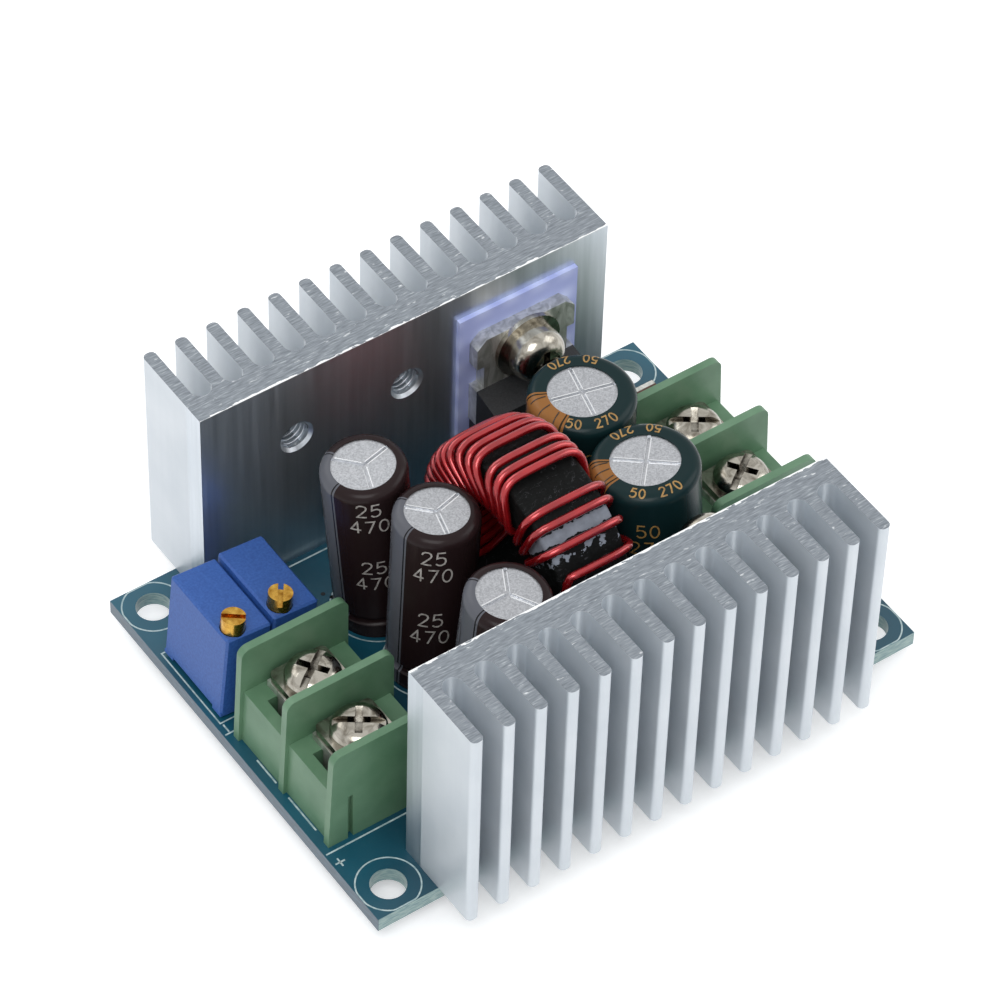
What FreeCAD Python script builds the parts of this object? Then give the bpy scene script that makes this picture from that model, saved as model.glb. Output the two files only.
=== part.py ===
import FreeCAD, Part
import math
import os

# Step-down converter module: a board with two finned heatsinks, five electrolytic
# capacitors, a toroidal inductor, two multi-turn trimmers and two screw terminals.
# Millimetres. Heights below are above the board's component side. The finished pieces are
# raised by the board's thickness, so the origin is the centre of the four mounting holes on
# the board's underside. +X towards the input terminal, +Y towards the rear heatsink, +Z up.

Vector = FreeCAD.Vector
up = Vector(0, 0, 1)

# Board
board_length = 60.0
board_width = 44.7
board_thickness = 1.6
mount_hole_inset_x = 3.0
mount_hole_inset_y = 2.85
mount_hole_radius = 1.7

# Soldering
lead_trim = 2.0
lead_hole_clearance = 0.06
solder_foot = 0.6
solder_tip = 0.12

# Heatsinks, one extrusion used twice
heatsink_length = 44.9
heatsink_height = 24.8
heatsink_depth = 9.8
heatsink_plate = 2.5
heatsink_overhang = 4.65
fin_count = 14
fin_thickness = 1.26
fin_tip_radius = 0.52
rear_heatsink_shift = -0.3
front_heatsink_shift = -1.1
tapped_hole_pitch = 12.15
tapped_hole_height = 16.6
tapped_hole_depth = 5.5
tapped_hole_countersink = 0.3

# Power devices, screwed to the heatsinks through a silicone pad
screw_thread_radius = 1.5
thread_fit_clearance = 0.02
pad_width = 13.3
pad_height = 18.5
pad_thickness = 0.5
pad_above_screw = 5.2
tab_width = 11.0
tab_thickness = 1.3
tab_above_screw = 2.9
tab_below_screw = 3.5
tab_corner = 1.0
tab_notch_depth = 0.8
tab_notch_height = 2.9
tab_hole_radius = 1.9
package_height = 9.2
package_thickness = 4.5
package_draft = 0.25
package_bevel = 0.75
device_lead_pitch = 2.54
device_lead_width = 0.8
device_lead_thickness = 0.5
device_lead_from_back = 2.6
device_shoulder_width = 1.3
device_shoulder_length = 2.2
device_lead_embed = 0.8
flat_washer_radius = 3.5
flat_washer_thickness = 0.5
lock_washer_radius = 2.75
lock_washer_thickness = 0.8
lock_washer_split = 0.6
washer_bore_clearance = 0.1
head_rim_height = 0.6
head_crown_radius = 1.2
recess_reach = 1.55
recess_floor_reach = 0.55
recess_width = 0.7
recess_depth = 1.0
recess_slot_depth = 0.5
device_screw_length = 8.0
device_head_radius = 2.8
device_head_height = 2.1

# Capacitors
sleeve_thickness = 0.15
can_edge_radius = 0.8
can_groove_height = 2.3
can_groove_half = 0.6
can_groove_depth = 0.45
score_width = 0.3
score_depth = 0.2
seal_depth = 1.2
seal_inset = 0.3
capacitor_lead_radius = 0.3
capacitor_lead_embed = 0.7
output_can_radius = 3.9
output_can_height = 20.2
output_lead_pitch = 3.5
output_sleeve_opening = 3.0
input_can_radius = 4.95
input_can_height = 20.0
input_lead_pitch = 5.0
input_sleeve_opening = 3.25

# Inductor
core_outer_radius = 11.0
core_inner_radius = 7.0
core_width = 7.4
core_centre = Vector(0.4, -2.2, 11.6)
wire_radius = 0.4
wire_clearance = 0.02
wire_bend_radius = 0.9
spaced_turns = [144.8, 131.5, 120.7, 113.5]
bunched_turns = [93.8, 88.6, 82.0, 70.5, 64.0, 55.5, 46.0]
even_turn_count = 11
even_turn_step = 7.5
bore_first_angle = 143.0
bore_turn_step = 8.66

# Trimmers
trimmer_width = 4.8
trimmer_length = 9.5
trimmer_height = 9.6
trimmer_foot_height = 0.4
trimmer_foot_length = 1.4
trimmer_edge_chamfer = 0.2
trimmer_lean = 5.5
trimmer_pitch = 5.05
trimmer_edge_gap = 0.75
trimmer_pair_y = 9.3
trimmer_screw_radius = 1.15
trimmer_screw_height = 1.5
trimmer_screw_sink = 2.0
trimmer_screw_from_end = 1.3
trimmer_screw_off_centre = 1.0
trimmer_screw_slot = 0.5
trimmer_screw_slot_depth = 0.8
trimmer_running_clearance = 0.05
trimmer_pin_radius = 0.25
trimmer_pin_pitch = 2.54
trimmer_pin_embed = 0.8
voltage_slot_turn = -34
current_slot_turn = 55

# Screw terminals, local X runs from the outer side inwards
terminal_depth = 12.0
terminal_pitch = 7.4
terminal_height = 12.0
terminal_wall = 0.8
terminal_wall_draft = 0.6
terminal_corner_radius = 1.0
terminal_base_height = 6.5
terminal_base_inset = 0.4
terminal_ledge = 1.2
terminal_slot_width = 2.6
terminal_end_groove = 0.55
terminal_end_groove_height = 5.8
terminal_end_groove_place = 2.1
out_terminal_edge_gap = 0.8
out_terminal_y = -5.4
in_terminal_edge_gap = 0.9
in_terminal_y = -0.1
contact_thickness = 0.8
contact_length = 6.2
contact_breadth = 5.6
contact_fit = 0.05
contact_tongue = 2.2
contact_pin_width = 1.0
clamp_washer_length = 6.0
clamp_washer_breadth = 5.6
clamp_washer_thickness = 1.0
clamp_washer_corner = 0.6
clamp_washer_bore_clearance = 0.12
clamp_screw_clearance = 0.05
clamp_screw_length = 5.0
clamp_well_clearance = 0.5
clamp_head_radius = 2.65
clamp_head_height = 1.6
clamp_screw_turn = 35

# Small parts soldered flat on the board
controller_length = 8.65
controller_legs = 7
comparator_length = 4.9
comparator_legs = 4
chip_body_width = 3.9
chip_body_height = 1.4
chip_leg_pitch = 1.27
chip_leg_width = 0.42
chip_leg_thickness = 0.2
chip_leg_reach = 1.05
chip_stand_off = 0.1
pin_one_radius = 0.3
pin_one_depth = 0.1
pin_one_inset = 0.8
controller_place = Vector(0.5, -2.5, 0)
comparator_place = Vector(-16.5, 9.0, 0)
shunt_length = 6.4
shunt_width = 3.2
shunt_height = 0.8
small_chip_length = 2.0
small_chip_width = 1.25
small_chip_height = 0.6
input_chip_length = 3.2
input_chip_width = 2.5
input_chip_height = 1.0
input_chip_place = Vector(26.75, 14.9, 0)

# Derived places
underside = -board_thickness
lead_end = underside - lead_trim
heatsink_face = board_width / 2 + heatsink_overhang - heatsink_depth
countersink_radius = screw_thread_radius + tapped_hole_countersink
trimmer_top = trimmer_foot_height + trimmer_height
trimmer_x = trimmer_edge_gap + trimmer_width / 2 - board_length / 2
contact_top = terminal_base_height + contact_thickness
terminal_base_draft = terminal_wall_draft * terminal_base_height / terminal_height
clamp_seat = contact_top + clamp_washer_thickness

parts = {}
soldered = []


# Builds a straight-edged flat face from 2D points given as vectors
def polygon_face(points):
    return Part.Face(Part.makePolygon(points + [points[0]]))


# Turns +Z towards a direction and moves the origin to a point
def aim(shape, point, direction):
    turned = shape.copy()
    turned.Placement = FreeCAD.Placement(point, FreeCAD.Rotation(up, direction))
    return turned


# Copies a shape turned about Z and moved
def stand(shape, point, turn):
    turned = shape.copy()
    turned.Placement = FreeCAD.Placement(point, FreeCAD.Rotation(up, turn))
    return turned


# A box centred in X and Y that stands on a height
def centred_box(length, width, height, x, y, z):
    return Part.makeBox(length, width, height, Vector(x - length / 2, y - width / 2, z))


# Notes a lead that passes through the board and is soldered underneath
def solder_lead(lead, x, y, radius):
    soldered.append((lead, x, y, radius))


# Round wire lead, straight down through the board
def round_lead(x, y, radius, top):
    lead = Part.makeCylinder(radius, top - lead_end, Vector(x, y, lead_end))
    solder_lead(lead, x, y, radius)
    return lead


# Outline of the extrusion: a plate with round-ended fins and round slot floors
def heatsink_profile():
    fin_pitch = (heatsink_length - fin_thickness) / (fin_count - 1)
    slot_radius = (fin_pitch - fin_thickness) / 2
    floor = -heatsink_plate - slot_radius
    tip = -heatsink_depth
    left = -heatsink_length / 2
    edges = [Part.LineSegment(Vector(-left, 0, 0), Vector(left, 0, 0)).toShape()]
    start = Vector(left, 0, 0)
    for index in range(fin_count):
        near = left + index * fin_pitch
        far = near + fin_thickness
        shoulder = tip + fin_tip_radius
        sweep = fin_tip_radius * (1 - math.sqrt(0.5))
        tip_start = Vector(near, shoulder, 0)
        tip_flat = Vector(near + fin_tip_radius, tip, 0)
        tip_end = Vector(far - fin_tip_radius, tip, 0)
        tip_back = Vector(far, shoulder, 0)
        edges.append(Part.LineSegment(start, tip_start).toShape())
        edges.append(Part.Arc(tip_start, Vector(near + sweep, tip + sweep, 0), tip_flat).toShape())
        edges.append(Part.LineSegment(tip_flat, tip_end).toShape())
        edges.append(Part.Arc(tip_end, Vector(far - sweep, tip + sweep, 0), tip_back).toShape())
        if index < fin_count - 1:
            slot_start = Vector(far, floor, 0)
            slot_end = Vector(near + fin_pitch, floor, 0)
            slot_top = Vector(far + slot_radius, floor + slot_radius, 0)
            edges.append(Part.LineSegment(tip_back, slot_start).toShape())
            edges.append(Part.Arc(slot_start, slot_top, slot_end).toShape())
            start = slot_end
        else:
            edges.append(Part.LineSegment(tip_back, Vector(far, 0, 0)).toShape())
    return Part.Face(Part.Wire(edges))


# Heatsink with three tapped and countersunk holes in its flat face
def heatsink():
    body = heatsink_profile().extrude(Vector(0, 0, heatsink_height))
    for step in (-1, 0, 1):
        mouth = Vector(step * tapped_hole_pitch, 0, tapped_hole_height)
        bore = Part.makeCylinder(screw_thread_radius, tapped_hole_depth, mouth, Vector(0, -1, 0))
        sink = Part.makeCone(countersink_radius, screw_thread_radius, tapped_hole_countersink,
                             mouth, Vector(0, -1, 0))
        body = body.cut(bore.fuse(sink))
    return body


# Pan head with a cross recess, underside at z = 0, shank down; slotted adds a full slot
def pan_screw(head_radius, head_height, shank_radius, shank_length, slotted):
    bulge = math.sqrt(0.5)
    middle = Vector(head_crown_radius + (head_radius - head_crown_radius) * bulge, 0,
                    head_rim_height + (head_height - head_rim_height) * bulge)
    rim = Vector(head_radius, 0, head_rim_height)
    crown = Vector(head_crown_radius, 0, head_height)
    outline = [
        Part.LineSegment(Vector(0, 0, 0), Vector(head_radius, 0, 0)).toShape(),
        Part.LineSegment(Vector(head_radius, 0, 0), rim).toShape(),
        Part.Arc(rim, middle, crown).toShape(),
        Part.LineSegment(crown, Vector(0, 0, head_height)).toShape(),
        Part.LineSegment(Vector(0, 0, head_height), Vector(0, 0, 0)).toShape(),
    ]
    head = Part.Face(Part.Wire(outline)).revolve(Vector(0, 0, 0), up, 360)
    above = 2 * head_height
    flank = polygon_face([
        Vector(-recess_reach, -recess_width / 2, above),
        Vector(recess_reach, -recess_width / 2, above),
        Vector(recess_reach, -recess_width / 2, head_height),
        Vector(recess_floor_reach, -recess_width / 2, head_height - recess_depth),
        Vector(-recess_floor_reach, -recess_width / 2, head_height - recess_depth),
        Vector(-recess_reach, -recess_width / 2, head_height),
    ]).extrude(Vector(0, recess_width, 0))
    cross = flank.fuse(stand(flank, Vector(0, 0, 0), 90)).removeSplitter()
    head = head.cut(cross)
    if slotted:
        slot = centred_box(head_radius * 3, recess_width, head_height, 0, 0, head_height - recess_slot_depth)
        head = head.cut(slot)
    shank = Part.makeCylinder(shank_radius, shank_length, Vector(0, 0, -shank_length))
    return head.fuse(shank).removeSplitter()


# Silicone pad, local Y pointing away from the heatsink's flat face
def thermal_pad():
    top = tapped_hole_height + pad_above_screw
    sheet = centred_box(pad_width, pad_thickness, pad_height, 0, pad_thickness / 2, top - pad_height)
    hole = Part.makeCylinder(tab_hole_radius, pad_thickness, Vector(0, 0, tapped_hole_height),
                             Vector(0, 1, 0))
    return sheet.cut(hole)


# Tab of a power device with clipped corners, a screw hole and a notch in each side
def device_tab():
    back = pad_thickness
    top = tapped_hole_height + tab_above_screw
    low = tapped_hole_height - tab_below_screw - package_height / 2
    half = tab_width / 2
    plate = polygon_face([
        Vector(-half, back, low),
        Vector(half, back, low),
        Vector(half, back, top - tab_corner),
        Vector(half - tab_corner, back, top),
        Vector(-half + tab_corner, back, top),
        Vector(-half, back, top - tab_corner),
    ]).extrude(Vector(0, tab_thickness, 0))
    hole = Part.makeCylinder(tab_hole_radius, tab_thickness, Vector(0, back, tapped_hole_height),
                             Vector(0, 1, 0))
    plate = plate.cut(hole)
    neck_floor = tapped_hole_height - tab_below_screw
    for side in (-1, 1):
        notch = centred_box(2 * tab_notch_depth, 3 * tab_thickness, tab_notch_height,
                            side * half, back + tab_thickness / 2, neck_floor)
        plate = plate.cut(notch)
    return plate


# Moulded body of a power device before its frame is cut out of it
def device_moulding():
    top = tapped_hole_height - tab_below_screw
    half = tab_width / 2
    front = pad_thickness + package_thickness
    section = polygon_face([
        Vector(-half, pad_thickness + package_draft, top - package_height),
        Vector(-half, pad_thickness + tab_thickness, top - package_height),
        Vector(-half, front, top - package_height + package_draft),
        Vector(-half, front, top - package_bevel),
        Vector(-half, pad_thickness + tab_thickness, top),
        Vector(-half, pad_thickness + package_draft, top),
    ])
    return section.extrude(Vector(tab_width, 0, 0))


# The device in world coordinates: side is 1 at the rear and -1 at the front
def power_device(prefix, side, heatsink_shift):
    turn = 180 if side > 0 else 0
    place = Vector(heatsink_shift + tapped_hole_pitch, side * heatsink_face, 0)
    body_floor = tapped_hole_height - tab_below_screw - package_height
    lead_y = side * (heatsink_face - pad_thickness - device_lead_from_back)
    frame = [stand(device_tab(), place, turn)]
    leads = []
    for step in (-1, 0, 1):
        x = place.x + step * device_lead_pitch
        shoulder_floor = body_floor - device_shoulder_length
        shoulder = centred_box(device_shoulder_width, device_lead_thickness,
                               device_shoulder_length + device_lead_embed, x, lead_y, shoulder_floor)
        pin = centred_box(device_lead_width, device_lead_thickness, shoulder_floor - lead_end,
                          x, lead_y, lead_end)
        lead = pin.fuse(shoulder).removeSplitter()
        solder_lead(lead, x, lead_y, math.hypot(device_lead_width, device_lead_thickness) / 2)
        leads.append(lead)
    moulding = stand(device_moulding(), place, turn)
    for piece in frame + leads:
        moulding = moulding.cut(piece)
    parts[prefix + "_device_tab"] = frame[0]
    parts[prefix + "_device_package"] = moulding
    parts[prefix + "_thermal_pad"] = stand(thermal_pad(), place, turn)
    return leads


# Screw and washers of one device, stacked on its tab
def device_fasteners(side, heatsink_shift):
    outward = Vector(0, -side, 0)
    x = heatsink_shift + tapped_hole_pitch
    tab_front = heatsink_face - pad_thickness - tab_thickness
    seat = Vector(x, side * tab_front, tapped_hole_height)
    bore = screw_thread_radius + washer_bore_clearance
    flat = Part.makeCylinder(flat_washer_radius, flat_washer_thickness)
    flat = flat.cut(Part.makeCylinder(bore, flat_washer_thickness))
    lock = Part.makeCylinder(lock_washer_radius, lock_washer_thickness)
    lock = lock.cut(Part.makeCylinder(bore, lock_washer_thickness))
    lock = lock.cut(centred_box(lock_washer_radius * 2, lock_washer_split, lock_washer_thickness,
                                lock_washer_radius, 0, 0))
    screw = pan_screw(device_head_radius, device_head_height,
                      screw_thread_radius - thread_fit_clearance, device_screw_length, False)
    lock_seat = seat + outward * flat_washer_thickness
    head_seat = lock_seat + outward * lock_washer_thickness
    return aim(screw, head_seat, outward), aim(flat, seat, outward), aim(lock, lock_seat, outward)


# Can outline in the XZ plane, turned into a solid; grown is the sleeve's extra radius
def can_body(radius, height, floor, grown):
    wide = radius + grown
    top = height + grown
    edge = can_edge_radius + grown
    bend = edge * (1 - math.sqrt(0.5))
    groove_low = can_groove_height - can_groove_half
    groove_high = can_groove_height + can_groove_half
    outline = [
        Part.LineSegment(Vector(0, 0, floor), Vector(wide, 0, floor)).toShape(),
        Part.LineSegment(Vector(wide, 0, floor), Vector(wide, 0, groove_low)).toShape(),
        Part.Arc(Vector(wide, 0, groove_low), Vector(wide - can_groove_depth, 0, can_groove_height),
                 Vector(wide, 0, groove_high)).toShape(),
        Part.LineSegment(Vector(wide, 0, groove_high), Vector(wide, 0, top - edge)).toShape(),
        Part.Arc(Vector(wide, 0, top - edge), Vector(wide - bend, 0, top - bend),
                 Vector(wide - edge, 0, top)).toShape(),
        Part.LineSegment(Vector(wide - edge, 0, top), Vector(0, 0, top)).toShape(),
        Part.LineSegment(Vector(0, 0, top), Vector(0, 0, floor)).toShape(),
    ]
    return Part.Face(Part.Wire(outline)).revolve(Vector(0, 0, 0), up, 360)


# Capacitor standing at (x, y), its top leaning by (lean_x, lean_y); scores are groove angles
def capacitor(name, radius, height, pitch, opening, x, y, lean_x, lean_y, scores, lead_turn):
    axis = Vector(lean_x, lean_y, height)
    tilt = math.atan2(math.hypot(lean_x, lean_y), height)
    base = Vector(x, y, (radius + sleeve_thickness) * math.sin(tilt))
    can = can_body(radius, height, 0, 0)
    recess = Part.makeCylinder(radius - seal_inset, seal_depth)
    sleeve = can_body(radius, height, 0, sleeve_thickness).cut(can)
    sleeve = sleeve.cut(Part.makeCylinder(opening, height * 2))
    for angle in scores:
        groove = Part.makeBox(opening, score_width, score_depth * 2,
                              Vector(0, -score_width / 2, height - score_depth))
        can = can.cut(stand(groove, Vector(0, 0, 0), angle))
    can = can.cut(recess)
    seal = Part.makeCylinder(radius - seal_inset, seal_depth - seal_inset, Vector(0, 0, seal_inset))
    seal = aim(seal, base, axis)
    leads = []
    for side in (-1, 1):
        lead_x = x + side * pitch / 2 * math.cos(math.radians(lead_turn))
        lead_y = y + side * pitch / 2 * math.sin(math.radians(lead_turn))
        lead_top = base.z + seal_inset + capacitor_lead_embed
        lead = round_lead(lead_x, lead_y, capacitor_lead_radius, lead_top)
        seal = seal.cut(lead)
        leads.append(lead)
    parts[name + "_can"] = aim(can, base, axis)
    parts[name + "_sleeve"] = aim(sleeve, base, axis)
    parts[name + "_seal"] = seal
    return leads


# Polyline in space with every corner rounded to one radius
def rounded_path(points, radius):
    edges = []
    start = points[0]
    for before, corner, after in zip(points, points[1:], points[2:]):
        back = (before - corner).normalize()
        ahead = (after - corner).normalize()
        half_turn = back.getAngle(ahead) / 2
        reach = radius / math.tan(half_turn)
        bisector = (back + ahead).normalize()
        centre = corner + bisector * (radius / math.sin(half_turn))
        arc_start = corner + back * reach
        arc_end = corner + ahead * reach
        edges.append(Part.LineSegment(start, arc_start).toShape())
        edges.append(Part.Arc(arc_start, centre - bisector * radius, arc_end).toShape())
        start = arc_end
    edges.append(Part.LineSegment(start, points[-1]).toShape())
    return Part.Wire(edges)


# Point on the winding: across is the X offset, angle runs from +Y towards +Z
def winding_point(across, radius, angle):
    y = radius * math.cos(math.radians(angle))
    z = radius * math.sin(math.radians(angle))
    return core_centre + Vector(across, y, z)


# Powder core ring with rounded edges, its axis along X
def inductor_core():
    edge = wire_bend_radius - wire_radius - wire_clearance
    section = Part.makeBox(core_outer_radius - core_inner_radius, 1, core_width,
                           Vector(core_inner_radius, 0, -core_width / 2))
    face = [f for f in section.Faces if abs(f.CenterOfMass.y) < 1e-9][0]
    ring = face.revolve(Vector(0, 0, 0), up, 360)
    ring = ring.makeFillet(edge, ring.Edges)
    return aim(ring, core_centre, Vector(1, 0, 0))


# One enamelled wire wound through the core, with both ends down through the board
def inductor_winding():
    outer = core_outer_radius + wire_radius + wire_clearance
    inner = core_inner_radius - wire_radius - wire_clearance
    side = core_width / 2 + wire_radius + wire_clearance
    turns = spaced_turns + bunched_turns
    last = bunched_turns[-1]
    turns = turns + [last - even_turn_step * (n + 1) for n in range(even_turn_count)]
    first = winding_point(-side, outer, turns[0])
    points = [Vector(first.x, first.y, lead_end), first]
    for index, angle in enumerate(turns):
        if index > 0:
            bore_angle = bore_first_angle - bore_turn_step * index
            points.append(winding_point(-side, inner, bore_angle))
            points.append(winding_point(-side, outer, angle))
        points.append(winding_point(side, outer, angle))
        if index < len(turns) - 1:
            points.append(winding_point(side, inner, bore_first_angle - bore_turn_step * index))
    finish = points[-1]
    points.append(Vector(finish.x, finish.y, lead_end))
    path = rounded_path(points, wire_bend_radius)
    section = Part.Wire(Part.makeCircle(wire_radius, points[0], up))
    wire = path.makePipeShell([section], True, False)
    print("winding length", round(path.Length, 1), "section x length",
          round(math.pi * wire_radius ** 2 * path.Length, 1), "volume", round(wire.Volume, 1))
    for end in (points[0], points[-1]):
        solder_lead(wire_stub(end), end.x, end.y, wire_radius)
    return wire


# Straight end of the winding where it passes through the board
def wire_stub(end):
    return Part.makeCylinder(wire_radius, -lead_end, Vector(end.x, end.y, lead_end))


# Trimmer with its pins and adjusting screw, leaning towards +X on its feet
def trimmer(name, x, slot_turn):
    tilt = math.radians(trimmer_lean)
    axis = Vector(math.sin(tilt), 0, math.cos(tilt))
    base = Vector(x, trimmer_pair_y, trimmer_width / 2 * math.sin(tilt))
    case = centred_box(trimmer_width, trimmer_length, trimmer_height, 0, 0, trimmer_foot_height)
    above_floor = [e for e in case.Edges if e.CenterOfMass.z > trimmer_foot_height + trimmer_edge_chamfer]
    case = case.makeChamfer(trimmer_edge_chamfer, above_floor)
    for end in (-1, 1):
        foot_y = end * (trimmer_length - trimmer_foot_length) / 2
        case = case.fuse(centred_box(trimmer_width, trimmer_foot_length, trimmer_foot_height, 0, foot_y, 0))
    screw_x = -trimmer_screw_off_centre
    screw_y = -trimmer_length / 2 + trimmer_screw_from_end
    screw_floor = trimmer_top - trimmer_screw_sink
    well = Part.makeCylinder(trimmer_screw_radius + trimmer_running_clearance, trimmer_screw_sink + trimmer_screw_height,
                             Vector(screw_x, screw_y, screw_floor))
    case = case.cut(well).removeSplitter()
    screw = Part.makeCylinder(trimmer_screw_radius, trimmer_screw_sink + trimmer_screw_height,
                              Vector(screw_x, screw_y, screw_floor))
    slot_floor = trimmer_top + trimmer_screw_height - trimmer_screw_slot_depth
    slot = centred_box(trimmer_screw_radius * 3, trimmer_screw_slot, trimmer_screw_slot_depth, 0, 0, 0)
    screw = screw.cut(stand(slot, Vector(screw_x, screw_y, slot_floor), slot_turn))
    body = aim(case, base, axis)
    pins = []
    for step in (-1, 0, 1):
        pin = round_lead(x, trimmer_pair_y + step * trimmer_pin_pitch, trimmer_pin_radius,
                         base.z + trimmer_foot_height + trimmer_pin_embed)
        body = body.cut(pin)
        pins.append(pin)
    parts[name + "_body"] = body
    parts[name + "_screw"] = aim(screw, base, axis)
    return pins


# One partition of the terminal block, rounded at its top corners
def terminal_partition(centre_y):
    low = centre_y - terminal_wall / 2
    wall = polygon_face([
        Vector(0, low, 0),
        Vector(terminal_depth, low, 0),
        Vector(terminal_depth, low, terminal_height),
        Vector(terminal_wall_draft, low, terminal_height),
    ]).extrude(Vector(0, terminal_wall, 0))
    top_corners = [e for e in wall.Edges if abs(e.CenterOfMass.z - terminal_height) < 1e-6
                   and abs(e.Vertexes[0].X - e.Vertexes[1].X) < 1e-6]
    return wall.makeFillet(terminal_corner_radius, top_corners)


# Moulded two-way terminal housing, outer side at local x = 0
def terminal_housing():
    half = terminal_pitch + terminal_wall / 2
    base = polygon_face([
        Vector(terminal_base_inset, -half, 0),
        Vector(terminal_depth - terminal_base_inset, -half, 0),
        Vector(terminal_depth - terminal_base_inset, -half, terminal_base_height),
        Vector(terminal_base_inset + terminal_base_draft, -half, terminal_base_height),
    ]).extrude(Vector(0, 2 * half, 0))
    for step in (-1, 0, 1):
        base = base.fuse(terminal_partition(step * terminal_pitch))
    groove = centred_box(terminal_end_groove, terminal_end_groove, terminal_end_groove_height,
                         terminal_end_groove_place + terminal_end_groove / 2,
                         terminal_end_groove / 2 - half, 0)
    base = base.cut(groove)
    for side in (-1, 1):
        base = cut_cell(base, side * terminal_pitch / 2)
    return base.removeSplitter()


# Cuts one cell: a well for the screw's end and a pocket that the contact's tongue goes down
def cut_cell(base, cell_y):
    centre = terminal_depth / 2
    pocket_start = terminal_base_inset + terminal_base_draft + terminal_ledge
    pocket_end = centre - contact_length / 2 + contact_thickness + contact_fit
    well_floor = clamp_seat - clamp_screw_length - clamp_well_clearance
    well = Part.makeCylinder(screw_thread_radius + clamp_well_clearance, terminal_base_height - well_floor,
                             Vector(centre, cell_y, well_floor))
    pocket = centred_box(pocket_end - pocket_start, terminal_slot_width, terminal_base_height,
                         (pocket_start + pocket_end) / 2, cell_y, 0)
    return base.cut(well).cut(pocket)


# Contact: tapped plate on the base, with a tongue folded down its pocket to a solder pin
def terminal_contact(cell_y):
    centre = terminal_depth / 2
    plate = centred_box(contact_length, contact_breadth, contact_thickness, centre, cell_y, terminal_base_height)
    thread = Part.makeCylinder(screw_thread_radius, contact_thickness,
                               Vector(centre, cell_y, terminal_base_height))
    tongue_x = centre - contact_length / 2 + contact_thickness / 2
    tongue = centred_box(contact_thickness, contact_tongue, contact_top, tongue_x, cell_y, 0)
    pin = centred_box(contact_thickness, contact_pin_width, -lead_end, tongue_x, cell_y, lead_end)
    return plate.cut(thread).fuse([tongue, pin]).removeSplitter(), tongue_x


# Square clamp washer under the screw head
def clamp_washer(cell_y):
    centre = terminal_depth / 2
    plate = centred_box(clamp_washer_length, clamp_washer_breadth, clamp_washer_thickness,
                        centre, cell_y, contact_top)
    upright = [e for e in plate.Edges if abs(e.Vertexes[0].Z - e.Vertexes[1].Z) > clamp_washer_thickness / 2]
    plate = plate.makeFillet(clamp_washer_corner, upright)
    bore = Part.makeCylinder(screw_thread_radius + clamp_washer_bore_clearance,
                             clamp_washer_thickness, Vector(centre, cell_y, contact_top))
    return plate.cut(bore)


# One terminal block with everything in it; turn is 0 at the output, 180 at the input
def terminal(prefix, edge_x, centre_y, turn):
    place = Vector(edge_x, centre_y, 0)
    parts[prefix + "_terminal_housing"] = stand(terminal_housing(), place, turn)
    for number, side in ((1, 1), (2, -1)):
        cell_y = side * terminal_pitch / 2
        contact, tongue_x = terminal_contact(cell_y)
        contact = stand(contact, place, turn)
        spin = FreeCAD.Placement(place, FreeCAD.Rotation(up, turn))
        pin_place = spin.multVec(Vector(tongue_x, cell_y, 0))
        solder_lead(contact, pin_place.x, pin_place.y,
                    math.hypot(contact_pin_width, contact_thickness) / 2)
        screw = pan_screw(clamp_head_radius, clamp_head_height,
                          screw_thread_radius - clamp_screw_clearance, clamp_screw_length, True)
        screw_place = spin.multVec(Vector(terminal_depth / 2, cell_y, clamp_seat))
        parts[f"{prefix}_contact_{number}"] = contact
        parts[f"{prefix}_clamp_washer_{number}"] = stand(clamp_washer(cell_y), place, turn)
        parts[f"{prefix}_clamp_screw_{number}"] = stand(screw, screw_place, clamp_screw_turn * side + turn)


# Gull-wing chip under the board: returns its moulding and its legs
def chip(length, leg_count, x, y):
    top = underside - chip_stand_off
    moulding = centred_box(length, chip_body_width, chip_body_height, x, y, top - chip_body_height)
    dimple = Vector(x - length / 2 + pin_one_inset, y - chip_body_width / 2 + pin_one_inset,
                    top - chip_body_height)
    pin_one = Part.makeCylinder(pin_one_radius, pin_one_depth, dimple)
    moulding = moulding.cut(pin_one)
    legs = []
    middle = top - chip_body_height / 2
    for side in (-1, 1):
        root = chip_body_width / 2
        profile = [
            (root, middle), (root + chip_leg_reach / 2, middle),
            (root + chip_leg_reach / 2, underside - chip_leg_thickness),
            (root + chip_leg_reach, underside - chip_leg_thickness),
            (root + chip_leg_reach, underside),
            (root + chip_leg_reach / 2 - chip_leg_thickness, underside),
            (root + chip_leg_reach / 2 - chip_leg_thickness, middle + chip_leg_thickness),
            (root, middle + chip_leg_thickness),
        ]
        for index in range(leg_count):
            leg_x = x + (index - (leg_count - 1) / 2) * chip_leg_pitch - chip_leg_width / 2
            points = [Vector(leg_x, y + side * across, height) for across, height in profile]
            legs.append(polygon_face(points).extrude(Vector(chip_leg_width, 0, 0)))
    return moulding, legs


# Plain block soldered flat under the board
def flat_block(length, width, height, x, y):
    return centred_box(length, width, height, x, y, underside - height)


# Board with its mounting holes and one hole for each soldered lead
def circuit_board():
    board = centred_box(board_length, board_width, board_thickness, 0, 0, underside)
    for side_x in (-1, 1):
        for side_y in (-1, 1):
            corner = Vector(side_x * (board_length / 2 - mount_hole_inset_x),
                            side_y * (board_width / 2 - mount_hole_inset_y), underside)
            board = board.cut(Part.makeCylinder(mount_hole_radius, board_thickness, corner))
    holes = []
    for lead, x, y, radius in soldered:
        holes.append(Part.makeCylinder(radius + lead_hole_clearance, board_thickness, Vector(x, y, underside)))
    return board.cut(Part.makeCompound(holes))


# A solder cone around each lead, on the underside of the board
def solder_joints():
    joints = []
    for lead, x, y, radius in soldered:
        cone = Part.makeCone(radius + solder_foot, radius + solder_tip, lead_trim,
                             Vector(x, y, underside), Vector(0, 0, -1))
        joints.append(cone.cut(lead))
    return joints


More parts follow.
